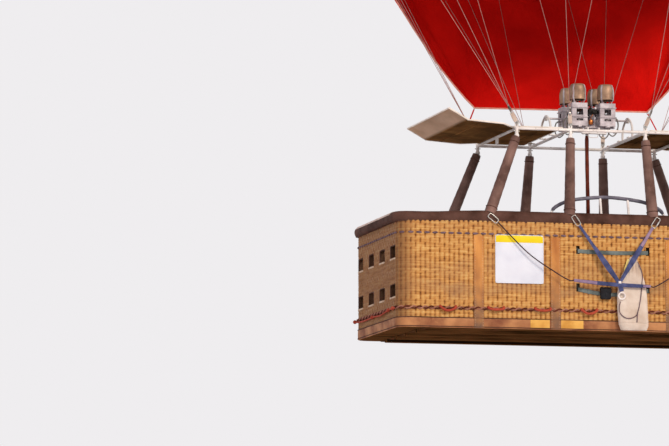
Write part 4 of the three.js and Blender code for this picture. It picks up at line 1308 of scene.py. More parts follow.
@dataclass
class Burner:
  """The quad burner: tray, jet blocks with their cans, valves and the pilot's bar."""

  x: float = 0.15
  y: float = 0.175
  tray: float = 2.172
  tray_low: float = 2.158
  axis: float = 2.268
  inlet: Profile = ((0, 0), (0.015, 0), (0.015, -0.03), (0.019, -0.034), (0.019, -0.052), (0.015, -0.056),
                    (0.015, -0.066), (0, -0.066))
  block_half: tuple[float, float] = (0.082, 0.078)
  block_top: float = 2.41
  window_half: float = 0.036
  window_levels: Sizes = (2.2243, 2.2463, 2.2843, 2.3483)
  can_low: float = 2.448
  can_radius: float = 0.086
  can_shape: Profile = ((0, 0), (0.0022, 0.003), (0.0022, 0.009), (0, 0.012), (0.0014, 0.06), (0.002, 0.09),
    (-0.0005, 0.112), (-0.006, 0.137), (-0.013, 0.153), (-0.021, 0.1625), (-0.029, 0.1635), (-0.032, 0.161))
  can_strip: Profile = (
      (0.07, 2.409), (0.072, 2.422), (0.0895, 2.452), (0.0895, 2.498), (0.0902, 2.538), (0.0878, 2.562),
      (0.082, 2.586), (0.0742, 2.603))
  pilot_line: Rows = (
      (-0.02, -0.03, 2.242), (-0.02, -0.03, 2.262), (-0.005, -0.03, 2.282), (0, -0.026, 2.303))
  main_line: Rows = (
      (0.03, -0.006, 2.182), (0.031, -0.006, 2.24), (0.024, -0.006, 2.275), (0.018, -0.006, 2.303))
  bar_y: float = -0.235
  bar_z: float = 2.102
  bar_half: Profile = ((0, 0.136), (0.009, 0.1345), (0.016, 0.129), (0.0195, 0.12), (0.0195, 0.108),
                       (0.016, 0.102), (0.015, 0.05))
  bends: Rows = ((-0.145, 0.052, 0.1), (-0.21, 0.034, 0.075), (0.155, 0.05, 0.09))
  bend_top: float = 2.262
  bend_turn: float = 2.19

  def build(self) -> None:
    """Builds the whole burner."""
    self.tray_bars()
    places = [spot(sx * self.x, sy * self.y, 0) for sy in SIDES for sx in SIDES]
    for number, foot in enumerate(places, 1):
      self.unit(number, foot)
      self.can(number, foot)
    self.valves()
    self.pilot_bar()
    self.fuel_lines()

  def tray_bars(self) -> None:
    """Builds the bars under the blocks, the pins they turn on and the inlet."""
    bm, low, top, pin = bmesh.new(), self.tray_low, self.tray, self.axis
    for s in SIDES:
      x, y = s * self.x, s * self.y
      block(bm, spot(-self.x - 0.095, y - 0.018, low), spot(self.x + 0.095, y + 0.018, top), 0.002)
      block(bm, spot(x - 0.018, -self.y - 0.09, low), spot(x + 0.018, self.y + 0.09, top), 0.002)
      block(bm, spot(x + s * 0.07, -0.032, low), spot(x + s * 0.088, 0.032, pin + 0.034), 0.004)
      block(bm, spot(x, -0.024, low), spot(x + s * 0.088, 0.024, top), 0.002)
      bar(bm, spot(x + s * 0.08, 0, pin), spot(s * 0.464, 0, pin), 0.01, sides=24)
      bar(bm, spot(x + s * 0.088, 0, pin), spot(x + s * 0.106, 0, pin), 0.019, sides=6)
    block(bm, spot(-self.x, -0.024, low), spot(self.x, 0.024, top), 0.002)
    lathe(bm, self.inlet, spot(0, 0, self.tray), 20)
    keep("burner_bars", bm, BURNER_STEEL, BURNER, "burner_tray")

  def unit(self, number: int, foot: Vector) -> None:
    """Builds one jet block with its coil and its jets.

    Args:
      number: The unit's number.
      foot: Its middle, level with the basket's underside.
    """
    bm = bmesh.new()
    (hx, hy), w = self.block_half, self.window_half
    around = [(-hx, -hy), (-w, -hy), (w, -hy), (hx, -hy), (hx, -w), (hx, w), (hx, hy), (w, hy), (-w, hy),
              (-hx, hy), (-hx, w), (-hx, -w)]
    levels = [self.tray + 0.0003, *self.window_levels, self.block_top]

    def place(u: float, v: float) -> Vector:
      """A point of the block's sides."""
      return foot + Vector((*around[round(u * 12) % 12], levels[round(v * 5)]))

    surface(bm, 12, 5, place)
    bmesh.ops.remove_doubles(bm, verts=bm.verts, dist=1e-6)
    windows = []
    for face in bm.faces:
      middle = face.calc_center_median() - foot
      level = sum(middle.z > z for z in self.window_levels)
      if level in (1, 3) and min(abs(middle.x), abs(middle.y)) < 0.001:
        windows.append(face)
    bmesh.ops.delete(bm, geom=windows, context="FACES")
    shell(bm, 0.006)
    for z in (levels[0] + 0.001, self.block_top - 0.0075):
      corner = Vector((hx - 0.003, hy - 0.003, 0))
      block(bm, foot + Z * z - corner, foot + Z * (z + 0.008) + corner, 0.001)
    for z, s in product((levels[2] + 0.012, levels[4] + 0.008), SIDES):
      block(bm, foot + Vector((s * (hx - 0.001), -hy - 0.009, z)),
            foot + Vector((s * (hx + 0.009), hy + 0.009, z + 0.012)), 0.002)
      block(bm, foot + Vector((-hx - 0.0085, s * (hy - 0.001), z + 0.0005)),
            foot + Vector((hx + 0.0085, s * (hy + 0.009), z + 0.0115)), 0.002)
    keep(f"jet_block_{number}", bm, BURNER_STEEL, BURNER, f"burner_unit_{number}")
    bm, low = bmesh.new(), self.can_low
    pipe(bm, [foot + swing(0.027, i * 0.5, self.tray + 0.016 + i * 0.0029) for i in range(76)], 0.0065, 8)
    pipe(bm, [foot + swing(0.057, i * 0.45, low - 0.03 + i * 0.0018) for i in range(72)], 0.0062, 8)
    neck, head = foot + Z * self.block_top, foot + Z * (low + 0.02)
    bar(bm, neck, head, 0.012, sides=16)
    bar(bm, neck, foot + Vector((0.057, 0, low - 0.03)), 0.0062, sides=10)
    keep(f"vapour_coil_{number}", bm, COIL_STEEL, BURNER)
    bm = bmesh.new()
    ring(bm, head, 0.036, 0.007, Z, steps=28)
    for i in range(12):
      lathe(bm, [(0, 0.012), (0.0028, 0.012), (0.0045, 0.004), (0.0045, -0.001)],
            foot + swing(0.036, pi * i / 6, low + 0.022), 10)
    keep(f"jet_ring_{number}", bm, COPPER, BURNER)

  def can(self, number: int, foot: Vector) -> None:
    """Builds the sheet can over a unit and the strips that hold it.

    Args:
      number: The unit's number.
      foot: Its middle, level with the basket's underside.
    """
    bm, r, low = bmesh.new(), self.can_radius, self.can_low
    outer = [(r + out, low + up) for out, up in self.can_shape]
    inner = [(a - 0.0022, z - (0.002 if z > low + 0.1 else -0.0005)) for a, z in reversed(outer)]
    lathe(bm, [*outer, *inner, outer[0]], foot, 48)
    keep(f"can_{number}", bm, CAN_STEEL, BURNER)
    bm, rivet = bmesh.new(), [(0, 0.0035), (0.003, 0.003), (0.0042, 0)]
    for angle in (pi * (i + 0.5) / 2 for i in range(4)):
      path = curve([foot + swing(a, angle, z) for a, z in self.can_strip], 3)
      strap(bm, path, 0.017, 0.003, swing(1, angle + pi / 2))
      turn = swing(1, angle).to_track_quat("Z", "Y").to_matrix().to_4x4()
      for z in (low + 0.02, low + 0.085):
        lathe(bm, rivet, foot + swing(r + 0.0045, angle, z), 8, turn)
    keep(f"can_strips_{number}", bm, BURNER_STEEL, BURNER)
    bm = bmesh.new()
    for height in (0.03, 0.052, 0.074):
      ring(bm, foot + Z * (low + height), r + 0.0012, 0.0011, Z, steps=48)
    keep(f"can_beads_{number}", bm, CAN_STEEL, BURNER)

  def valves(self) -> None:
    """Builds the valve bodies between the blocks, their grips and the copper pilot cups."""
    dark, copper, steel = bmesh.new(), bmesh.new(), bmesh.new()
    blocks = ((dark, (-0.046, -0.042, 2.3), (0.046, 0.03, 2.352), 0.006),
              (dark, (-0.012, -0.075, 2.31), (0.012, -0.04, 2.334), 0.003),
              (dark, (-0.03, -0.05, 2.352), (-0.014, 0.02, 2.364), 0.002),
              (steel, (-0.034, -0.012, self.tray), (0.034, 0.012, self.tray + 0.012), 0.002))
    cup = [(0, -0.028), (0.016, -0.026), (0.0235, -0.016), (0.0245, 0.012), (0.021, 0.022), (0.012, 0.027),
           (0, 0.028)]
    for foot in (spot(0, s * self.y, 0) for s in SIDES):
      for bm, corner, other, soft in blocks:
        block(bm, foot + Vector(corner), foot + Vector(other), soft)
      lathe(dark, mirrored([(0, 0.069), (0.017, 0.069), (0.019, 0.06)]),
            foot + Vector((0, -0.008, 2.326)), 20, ABOUT_Y)
      lathe(steel, mirrored([(0, 0.014), (0.011, 0.014), (0.013, 0.01)]),
            foot + Vector((0.022, -0.05, 2.36)), 16, ABOUT_X)
      lathe(copper, cup, foot + Vector((-0.02, -0.03, self.tray + 0.044)), 24)
      pipe(copper, curve([foot + Vector(point) for point in self.pilot_line], 6), 0.0048, 10)
      pipe(steel, curve([foot + Vector(point) for point in self.main_line], 6), 0.0058, 10)
    keep("valve_bodies", dark, BLACK_GRIP, BURNER)
    keep("pilot_cups", copper, COPPER, BURNER)
    keep("valve_fittings", steel, BURNER_STEEL, BURNER)

  def pilot_bar(self) -> None:
    """Builds the white bar that the pilot pulls, with its arms and the small bracket under it."""
    bm = bmesh.new()
    y, z, under = self.bar_y, self.bar_z, self.tray_low - 0.0003
    lathe(bm, mirrored(self.bar_half), spot(0.004, y, z), 24, ABOUT_Y)
    for x in (-0.06, 0.06):
      block(bm, spot(x - 0.007, y - 0.007, z), spot(x + 0.007, y + 0.007, under), 0.002)
      block(bm, spot(x - 0.008, y - 0.008, under - 0.01), spot(x + 0.008, -self.y + 0.014, under), 0.002)
    keep("pull_bar", bm, BAR_WHITE, BURNER, "valve_bar")
    bm = bmesh.new()
    half = [(0.012, -0.006, 0.052), (0.013, -0.034, 0.05), (0.014, -0.044, 0.034)]
    pipe(bm, curve([spot(x, y + dy, z + dz) for dy, dz, x in mirrored(half)], 6), 0.0045, 10)
    keep("pull_bracket", bm, BAR_WHITE, BURNER)

  def fuel_lines(self) -> None:
    """Builds the bent steel lines at both sides of the blocks."""
    bm, x, top, turn = bmesh.new(), self.x + self.block_half[0], self.bend_top, self.bend_turn
    for s, (y, reach, drop) in product(SIDES, self.bends):
      route = ((-0.004, 0, top), (0.018, 0, top), (reach, 0, top - 0.017), (reach + 0.012, 0.01, turn),
               (reach, 0.02, turn - drop * 0.62), (0.012, 0.03, turn - drop),
               (-0.03, 0.03, turn - drop * 0.72), (-0.044, 0.028, self.tray_low + 0.002))
      pipe(bm, curve([spot(s * (x + dx), y + dy, z) for dx, dy, z in route], 7), 0.0062, 10)
      bar(bm, spot(s * x, y, top), spot(s * (x + 0.012), y, top), 0.0105, sides=6)
    keep("fuel_lines", bm, HOSE_GREY, BURNER)


@dataclass
class Fuel:
  """The fuel cylinders with their valves and the covered hose up to the burner."""

  cylinders: Sizes = (-0.43, -0.144, 0.144, 0.43)
  hose_cylinder: float = 0.144
  y: float = 0.64
  radius: float = 0.138
  top: float = 0.9603
  bands: Sizes = (0.16, 0.62)
  valve: Profile = ((0, 0.026), (0.013, 0.026), (0.016, 0.022), (0.016, 0.012), (0.022, 0.009),
                    (0.022, -0.0005), (0, -0.0005))
  wheel: Profile = ((0, 0.056), (0.02, 0.056), (0.026, 0.05), (0.026, 0.042), (0.02, 0.038), (0.005, 0.036),
                    (0.005, 0.024))
  hose_radius: float = 0.02
  route: Rows = (
      (0, 0, 2.101), (0, 0, 1.941), (0.003, 0.004, 1.76), (0.008, 0.012, 1.58), (0.016, 0.028, 1.44),
      (0.026, 0.056, 1.33), (0.046, 0.12, 1.248), (0.072, 0.215, 1.21), (0.1, 0.33, 1.204),
      (0.124, 0.452, 1.196), (0.139, 0.562, 1.156), (0.144, 0.621, 1.084), (0.144, 0.64, 1.01),
      (0.144, 0.64, 0.9606))

  def build(self) -> None:
    """Dresses the cylinders and builds their valves, bands and the hose."""
    bm, bands = bmesh.new(), bmesh.new()
    for number, x in enumerate(self.cylinders, 1):
      dress(f"fuel_cylinder_{number}", CYLINDER_STEEL)
      top = spot(x, self.y, self.top)
      lathe(bm, self.valve, top, 20)
      if x != self.hose_cylinder:
        lathe(bm, self.wheel, top, 20)
      for z in self.bands:
        ring(bands, spot(x, self.y, z), self.radius + 0.0012, 0.0022, Z, steps=40)
    keep("cylinder_valves", bm, BURNER_STEEL)
    keep("cylinder_bands", bands, CYLINDER_STEEL)
    path = curve([spot(*point) for point in self.route], 4)
    reach = reach_of(path)

    def swell(v: float) -> float:
      """The cover's radius, with a collar at each end."""
      collar = 0.22 * (v < 0.012 or v > 0.985)
      return self.hose_radius * (1.0 - collar + 0.03 * sin(v * reach * 34))

    bm = bmesh.new()
    pipe(bm, path, swell, 14)
    hose = keep("covered_hose", bm, HOSE_HIDE, node="fuel_hose")
    tuple(path[-1])
    [tuple(point) for point in reversed(path)]


# Rigging


@dataclass
class Rigging:
  """The strap, hook, ferrule and three cables of each point of the load frame."""

  points: Rows = (("inner", 0.399, 7.5), ("outer", 0.966, 52.5))
  bearings: Sizes = (0, 15, 30)
  reach: float = 2.774
  mouth: float = 5.06
  foot_z: float = 2.1063
  y: float = 0.728
  cable: float = 0.003
  knot: float = 0.18

  def build(self) -> None:
    """Builds the rigging of each point."""
    for (face, f), (side, s), (kind, x, first) in product(FRONT_BACK, LEFT_RIGHT, self.points):
      turns = [radians(first + more) for more in self.bearings]
      ends = [spot(s * self.reach * sin(turn), f * self.reach * cos(turn), self.mouth - 0.014)
              for turn in turns]
      self.point(f"{face}_{kind}_{side}", spot(s * x, f * self.y, self.foot_z), ends)

  def point(self, name: str, foot: Vector, ends: Sequence[Vector]) -> None:
    """Builds one point's rigging.

    Args:
      name: The end of its node's name.
      foot: Its place on the frame.
      ends: The upper ends of its three cables.
    """
    along = (ends[1] - foot).normalized()
    knot = foot + along * self.knot
    bm = bmesh.new()
    for end in ends:
      pipe(bm, line(knot, end, 6), self.cable, 6)
      bar(bm, end - (end - knot).normalized() * 0.09, end, self.cable * 1.7, sides=8)
      ring(bm, end + Z * 0.004, 0.009, 0.003, Vector((end.x, end.y, 0)), 1.4, Z, 14)
    keep(f"cables_{name}", bm, CABLE_STEEL, node=f"suspension_{name}")
    bm = bmesh.new()
    strap(bm, line(foot + along * 0.02, foot + along * 0.12, 8), 0.04, 0.006, X)
    strap(bm, line(foot + along * 0.04, foot + along * 0.09, 6), 0.042, 0.011, X)
    keep(f"cable_strap_{name}", bm, PALE_HIDE)
    bm = bmesh.new()
    ring(bm, foot + Z * 0.01, 0.0155, 0.005, Y, 1.45, Z, 24)
    bar(bm, foot + X * 0.0155, foot + Vector((0.0155, 0, 0.026)), 0.0078)
    bar(bm, foot + along * 0.112, knot, 0.009, 0.012, 14)
    bar(bm, knot, knot + along * 0.03, 0.012, 0.008, 14)
    keep(f"cable_hook_{name}", bm, STEEL)


# Scoop


@dataclass
class Scoop:
  """The cloth scoop behind the burner, with its piped edge and two corner straps."""

  frame_reach: float = hypot(0.966, 0.728)
  frame_z: float = 2.056
  mouth_radius: float = 2.8
  mouth_z: float = 5.06
  hem_reach: float = 2.82
  hem_z: float = 5.0597
  low: float = 2.53
  corner: float = 38.4
  end: float = 61.0
  turn: float = 3.9
  straight: float = 0.3
  margin: float = 0.045
  thick: float = 0.0035
  grid: tuple[int, int] = (240, 90)
  seams: Sizes = (0.08, 0.2, 0.35, 0.5, 0.65, 0.8, 0.92)
  strap_foot: tuple[float, float, float] = (1.118, 0.806, 2.11)

  def cone(self, z: float) -> float:
    """The reach of the cables at a height, with the scoop's clearance."""
    share = (z - self.frame_z) / (self.mouth_z - self.frame_z)
    return self.frame_reach + (self.mouth_radius - self.frame_reach) * share + self.margin

  def at(self, share: float, v: float, lift: float = 0.0) -> Vector:
    """A point of the cloth.

    Args:
      share: From 0 at its left end to 1 at its right end.
      v: From 0 at its lower edge to 1 at the mouth.
      lift: How far the point stands outward.

    Returns:
      The point.
    """
    u = 2 * share - 1
    climb = max(0, (abs(u) - self.straight) / (1 - self.straight)) * 0.97
    spread = (self.end - self.corner) * (1 - (1 - climb) ** 4)
    azimuth = radians(self.corner * min(1, abs(u) / self.straight) + spread)
    edge_z = self.low + (self.hem_z - self.low) * climb
    straight_y = self.cone(self.low) * cos(radians(self.corner))
    edge = self.cone(edge_z) if climb > 0 else straight_y / cos(azimuth)
    height = self.hem_z - edge_z
    bearing = copysign(azimuth, u) + radians(self.turn)
    reach = edge + (self.hem_reach - edge) * v + 0.05 * height * sin(pi * v) + lift
    reach += self.fold(share, v, bearing, height)
    return spot(reach * sin(bearing), reach * cos(bearing), edge_z + height * v)

  def fold(self, share: float, v: float, bearing: float, height: float) -> float:
    """How far the folds push the cloth outward at a point.

    Args:
      share: The point's place along the scoop, from 0 to 1.
      v: Its place up the scoop, from 0 to 1.
      bearing: Its bearing from the back.
      height: How tall the scoop is there.

    Returns:
      The push.
    """
    size = min(1, height / 1.2)
    fade = sin(pi * min(1, v * 1.02)) ** 0.7
    push = 0.018 * sin(bearing * 17 + 2 * ripple(v * 2, bearing)) * (1 - v)
    push += 0.02 * ripple(bearing * 4, v * 2.2)
    for s in SIDES:
      du, dv = (share - 0.5 - s * self.straight / 2) * 7.7, v * 3.0
      far = hypot(du, dv)
      ray = sin(atan2(dv, du * s) * 21 + s)
      push += 0.03 * ray * exp(-far / 1.5) * min(1, far / 0.15)
    return (push * fade + 0.004 * ripple(bearing * 22, v * 11, 4.0)) * size

  def build(self) -> None:
    """Builds the cloth, its edge and its straps."""
    bm, (across, up) = bmesh.new(), self.grid
    surface(bm, across, up, lambda u, v: self.at(u, v, self.thick))
    area = sum(face.calc_area() for face in bm.faces)
    shell(bm, 0.0018)
    cloth = keep("scoop_sheet", bm, SCOOP_CLOTH, node="scoop")
    width = reach_of([self.at(i / across, 1) for i in range(across + 1)])
    height = reach_of([self.at(0.5, i / up) for i in range(up + 1)])
    pieces = [self.piping(), self.panel_seams(), *(self.corner_strap(side, s) for side, s in LEFT_RIGHT)]

  def piping(self) -> Piece:
    """Makes the pale tape folded over the scoop's lower and side edges."""
    bm = bmesh.new()
    path = [self.at(i / 320, 0, self.thick) for i in range(321)]
    pipe(bm, path, 0.0125, 12, shape=lambda u: 1.0 - 0.35 * abs(sin(2 * pi * u)))
    return keep("scoop_edge", bm, PIPING)

  def panel_seams(self) -> Piece:
    """Makes the sewn seams between the scoop's panels."""
    bm = bmesh.new()
    for share in self.seams:
      path = [self.at(share, 0.004 + 0.992 * i / 45, self.thick + 0.0014) for i in range(46)]
      across = self.at(share + 0.002, 0.5) - self.at(share - 0.002, 0.5)
      strap(bm, path, 0.014, 0.0022, across.normalized())
    return keep("scoop_seams", bm, SEAM)

  def corner_strap(self, side: str, s: int) -> Piece:
    """Makes the strap from a lower corner to the heat shield's edge, with its two hooks.

    Args:
      side: The side's name.
      s: The side, -1 or 1.

    Returns:
      The strap.
    """
    top = self.at(0.5 + s * self.straight / 2, 0, self.thick)
    x, y, z = self.strap_foot
    foot = spot(s * x, y, z)
    along = (foot - top).normalized()
    bm = bmesh.new()
    strap(bm, line(top.lerp(foot, 0.05), top.lerp(foot, 0.93), 16), 0.015, 0.0025, X)
    made = keep(f"corner_strap_{side}", bm, SCOOP_CLOTH)
    bm, across = bmesh.new(), along.cross(Z)
    ring(bm, top + along * 0.022, 0.012, 0.003, across, 1.3, along, 18)
    ring(bm, foot - along * 0.014, 0.013, 0.0035, across, 1.5, along, 18)
    keep(f"corner_hooks_{side}", bm, STEEL)
    return made


# Envelope


@dataclass
class Envelope:
  """The gored skin in its four tiers, the tapes, the parachute valve and the crown ring."""

  gores: int = 24
  columns: int = 12
  row_pitch: float = 0.3
  mouth_radius: float = 2.8
  mouth_z: float = 5.06
  hem: float = 0.026
  hem_height: float = 0.03
  radius: float = 13.6
  dome: float = 10.676
  equator: float = 21.0446
  lean: float = radians(47.0)
  bulge: float = 0.17
  wall: float = 0.01
  cloth: float = 0.004
  vent: float = 3.6
  parachute: float = 4.0
  hub: float = 0.05
  breaks: Sizes = (0, 3.0, 6.0, 9.0, 13.0)
  tiers: tuple[str, ...] = ("lower", "middle", "upper", "crown")
  top_ring: float = 0.3

  def row(self, t: float) -> tuple[float, float]:
    """The profile's radius and height.

    Args:
      t: The place in rows from 0 at the mouth to 13 at the vent.

    Returns:
      The radius between two tapes' lines and the height over the basket's floor.
    """
    if t < 3:
      return tuple(Vector((self.mouth_radius, self.mouth_z)).lerp(Vector(self.row(3.0)), t / 3))
    if t <= 6:
      below = self.lean * (2 - t / 3)
      return self.radius * cos(below), self.equator - self.radius * sin(below)
    above = (t - 6) / 7 * acos(self.vent / self.radius)
    return self.radius * cos(above), self.equator + self.dome * sin(above)

  def bearing(self, way: float) -> float:
    """The bearing of a place in gores round the envelope, where the first tape is at 0."""
    return (way + 0.5) * 2 * pi / self.gores

  def at(self, u: float, t: float, lift: float = 0.0) -> Vector:
    """A point of the skin.

    Args:
      u: The way round from 0 to 1.
      t: The place in rows up the profile.
      lift: How far it stands outward.

    Returns:
      The point.
    """
    r, z = self.row(t)
    place = u * self.gores
    across = place - floor(place + 1e-9)
    arch = 4 * across * (1 - across)
    share = sqrt(max(0, sin(pi * min(t, 13.0) / 13)))
    ahead, behind = self.row(min(13.0, t + 0.02)), self.row(max(0, t - 0.02))
    slope = Vector((ahead[0] - behind[0], ahead[1] - behind[1])).normalized()
    off = lift + 0.018 * min(1, share) * abs(sin(pi * t * 2)) * arch
    r, turn = r + self.bulge * share * arch + slope.y * off, self.bearing(place)
    return spot(r * sin(turn), -r * cos(turn), z - slope.x * off)

  def build(self) -> None:
    """Builds the tiers and everything on them."""
    for name, first, last in zip(self.tiers, self.breaks, self.breaks[1:]):
      self.tier(name, first, last)
    self.hem_band()
    self.valve()
    self.crown()

  def tier(self, name: str, first: float, last: float) -> None:
    """Builds one tier of the skin and its tapes.

    Args:
      name: The tier's name.
      first: Its first row.
      last: Its last row.
    """
    profile = [Vector(self.row(first + (last - first) * i / 40)) for i in range(41)]
    rows, around = round(reach_of(profile) / self.row_pitch), self.gores * self.columns
    bm = bmesh.new()
    panel, gore = (bm.verts.layers.float.new(layer) for layer in ("panel", "gore"))
    values = []

    def place(u: float, v: float) -> Vector:
      """A point of the tier."""
      step, t = round(u * around) % around, first + (last - first) * v
      values.append((t * 2, 1 - abs(2 * (step % self.columns) / self.columns - 1)))
      return self.at(step / around, t)

    for vert, (height, part) in zip(surface(bm, around, rows, place), values):
      vert[panel], vert[gore] = height, part
    bmesh.ops.remove_doubles(bm, verts=bm.verts, dist=1e-5)
    shell(bm, self.cloth)
    keep(f"envelope_skin_{name}", bm, SKIN_CLOTH, node=f"envelope_{name}")
    bm = bmesh.new()
    for number in range(self.gores):
      heights = [first + (last - first) * i / rows for i in range(rows + 1)]
      path = [self.at(number / self.gores, t, self.cloth) for t in heights]
      strap(bm, path, 0.045, 0.006, swing(1, self.bearing(number)))
    keep(f"load_tapes_{name}", bm, TAPE)

  def hem_band(self) -> None:
    """Builds the hem round the mouth."""
    bm, r, z = bmesh.new(), self.mouth_radius, self.mouth_z
    out, top = r + self.hem, z + self.hem_height
    profile = [(r - 0.034, z), (out, z), (out + 0.002, (z + top) / 2), (out, top), (r - 0.01, top + 0.012),
               (r - 0.034, top), (r - 0.034, z)]
    lathe(bm, profile, spot(0, 0, 0), self.gores * self.columns)
    keep("mouth_hem", bm, SEAM)

  def seat(self, r: float) -> float:
    """The height of the valve's upper face where it lies under the skin."""
    last, edge = self.row(12.0), self.row(13.0)
    slope = (edge[1] - last[1]) / (last[0] - edge[0])
    return edge[1] + slope * (edge[0] - r) - self.wall - 0.0009

  def valve(self) -> None:
    """Builds the parachute that closes the vent."""
    bm, lip, around = bmesh.new(), self.vent - 0.04, self.gores * 8

    def place(u: float, v: float) -> Vector:
      """A point of the parachute."""
      r = self.hub + (self.parachute - self.hub) * v
      step = round(u * around) % around
      part = (step % 8) / 8
      z = self.seat(max(r, lip))
      if r < lip:
        z += 0.12 * (1 - (r / lip) ** 2) - 0.12 * part * (1 - part) * sin(pi * r / lip)
      turn = self.bearing(step / 8)
      return spot(r * sin(turn), -r * cos(turn), z)

    surface(bm, around, 36, place)
    bmesh.ops.remove_doubles(bm, verts=bm.verts, dist=1e-5)
    inner = [edge for edge in bm.edges if edge.is_boundary and edge.verts[0].co.xy.length < 0.2]
    bmesh.ops.holes_fill(bm, edges=inner, sides=0)
    shell(bm, self.cloth)
    keep("parachute", bm, VENT_CLOTH, VENT, "parachute_valve")

  def crown(self) -> None:
    """Builds the tapes over the vent and the ring that gathers them."""
    bm = bmesh.new()
    reach, z = self.row(13.0)
    for number in range(self.gores):
      turn = self.bearing(number)
      path = [self.at(number / self.gores, 12.0 + 0.95 * i / 6, 0.009) for i in range(7)]
      out = swing(1, turn - pi / 2)
      path += line(out * reach + Z * (z + BASE + 0.01), out * self.top_ring + Z * (z + BASE + 0.26), 10)
      strap(bm, path, 0.03, 0.006, swing(1, turn))
    keep("crown_tapes", bm, TAPE, node="crown_ring_with_tapes")
    bm = bmesh.new()
    ring(bm, spot(0, 0, z + 0.26), self.top_ring, 0.021, Z, steps=64)
    keep("crown_ring", bm, STEEL, node="crown_ring_with_tapes")


# Front gear


@dataclass
class FrontGear:
  """Everything that hangs on the basket's front: sign, straps, line bag, webbing and ropes."""

  strap_y: float = -0.8735
  strap_reach: float = 0.37
  bands: Rows = (("upper", 0.804, 0.01), ("lower", 0.416, 0.046))
  keepers: Sizes = (-0.26, 0.29)
  pouch: Rows = (((-0.142, -0.042, 0.319), (-0.034, -0.003, 0.436), 0.01),
      ((-0.146, -0.0445, 0.375), (-0.03, -0.004, 0.441), 0.008),
      ((-0.097, -0.0465, 0.345), (-0.079, -0.04, 0.385), 0.003))
  sign_front: float = -0.8756
  sign_back: float = -0.8708
  bag_back: float = -0.8758
  bag_depth: float = 0.08
  bag_foot: float = 0.01
  bag_tall: float = 0.747
  bag_left: Profile = ((0.06, 0.01), (0.042, 0.06), (0.036, 0.23), (0.036, 0.42), (0.07, 0.52),
                       (0.11, 0.61), (0.15, 0.7), (0.19, 0.757))
  bag_right: Profile = ((0.35, 0.01), (0.352, 0.06), (0.352, 0.2), (0.338, 0.4), (0.3, 0.59),
                        (0.262, 0.715), (0.212, 0.757))
  bag_cords: tuple[Profile, ...] = (
      ((0.057, 0.293), (0.047, 0.241), (0.05, 0.186), (0.078, 0.146), (0.122, 0.125), (0.176, 0.132),
       (0.218, 0.159), (0.231, 0.19)),
      ((0.25, 0.705), (0.288, 0.589), (0.284, 0.467), (0.268, 0.344), (0.248, 0.246), (0.228, 0.172),
       (0.221, 0.086)))
  plane: float = -0.9568
  hub: tuple[float, float] = (0.04, 0.478)
  cross_ends: Profile = ((-0.44, 0.498), (0.37, 0.454))
  ring_at: tuple[float, float] = (0.065, 0.352)
  hooks: Sizes = (-1.262, -0.392, 0.452, 1.262)
  hook_y: float = -0.887
  hook_z: float = 1.112
  hook_half: tuple[float, float] = (0.056, 0.025)
  rope: float = 0.006

  def build(self) -> None:
    """Builds each thing."""
    self.sign()
    self.straps()
    self.bag()
    ends = self.links()
    self.webbing(ends)
    self.ropes(ends)

  def sign(self) -> None:
    """Makes the blank board on the canes with its plain yellow head and its edge."""
    low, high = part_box("placard")
    face, middle = self.sign_front, (low + high) / 2
    bm = bmesh.new()
    block(bm, (low.x, face, low.z), (high.x, self.sign_back, high.z), 0.001)
    keep("sign_plate", bm, BOARD_WHITE, node="placard")
    bm = bmesh.new()
    block(bm, (low.x + 0.003, face - 0.0008, high.z - 0.075), (high.x - 0.003, face + 0.001, high.z - 0.004),
          0.0005)
    keep("sign_head", bm, BOARD_YELLOW)
    bm = bmesh.new()
    outline = Loop((high.x - low.x) / 2, (high.z - low.z) / 2, 0.012).places(80)
    path = [Vector((middle.x + point.x, face + 0.001, middle.z + point.y)) for point, _ in outline]
    pipe(bm, path, 0.0035, 8, closed=True)
    for x, z in product((low.x + 0.02, high.x - 0.02), (low.z + 0.02, high.z - 0.005)):
      lathe(bm, [(0, 0.004), (0.004, 0.0034), (0.006, 0)], Vector((x, face, z)), 10, ABOUT_X)
    keep("sign_edge", bm, BOARD_WHITE)

  def straps(self) -> None:
    """Makes the two straps that hold the cylinders, their keepers and the buckle pouch."""
    y, reach = self.strap_y, self.strap_reach
    for name, z, sag in self.bands:
      bm = bmesh.new()
      path = [spot(-reach, y + 0.06, z), spot(-reach, y + 0.012, z)]
      for i in range(41):
        x = reach * (i / 20 - 1)
        hang = sag * cos(pi / 2 * x / reach)
        path.append(spot(x, y - 0.001 * ripple(i * 0.5, z * 9), z - hang))
      path += [spot(reach, y + 0.012, z), spot(reach, y + 0.06, z)]
      strap(bm, path, 0.04, 0.0042, Z)
      for x in self.keepers:
        level = spot(x, y, z - sag * cos(pi / 2 * x / reach))
        block(bm, level + Vector((-0.012, -0.0065, -0.023)), level + Vector((0.012, 0.002, 0.023)), 0.002)
      keep(f"band_strap_{name}", bm, DARK_STRAP, node=f"cylinder_strap_{name}")
    bm = bmesh.new()
    for corner, other, soft in self.pouch:
      block(bm, spot(0, y, 0) + Vector(corner), spot(0, y, 0) + Vector(other), soft)
    keep("buckle_pouch", bm, POUCH)

  def bag_side(self, side: Profile, z: float) -> float:
    """The x of one side of the bag at a height."""
    for (xa, za), (xb, zb) in zip(side, side[1:]):
      if z <= zb:
        return xa + (xb - xa) * max(0, (z - za) / (zb - za))
    return side[-1][0]

  def bag_span(self, z: float) -> tuple[float, float, float]:
    """The shape of the bag at a height.

    Args:
      z: The height.

    Returns:
      The bag's middle, its half width and how far its foot has rounded out, from 0 to 1.
    """
    near, far = (sum(self.bag_side(side, z + dz) for dz in (-0.03, 0, 0.03)) / 3
                 for side in (self.bag_left, self.bag_right))
    ease = min(1, sqrt(max(0, z - 0.008) / 0.05))
    return (near + far) / 2, (far - near) / 2 * (0.86 + 0.14 * ease), ease

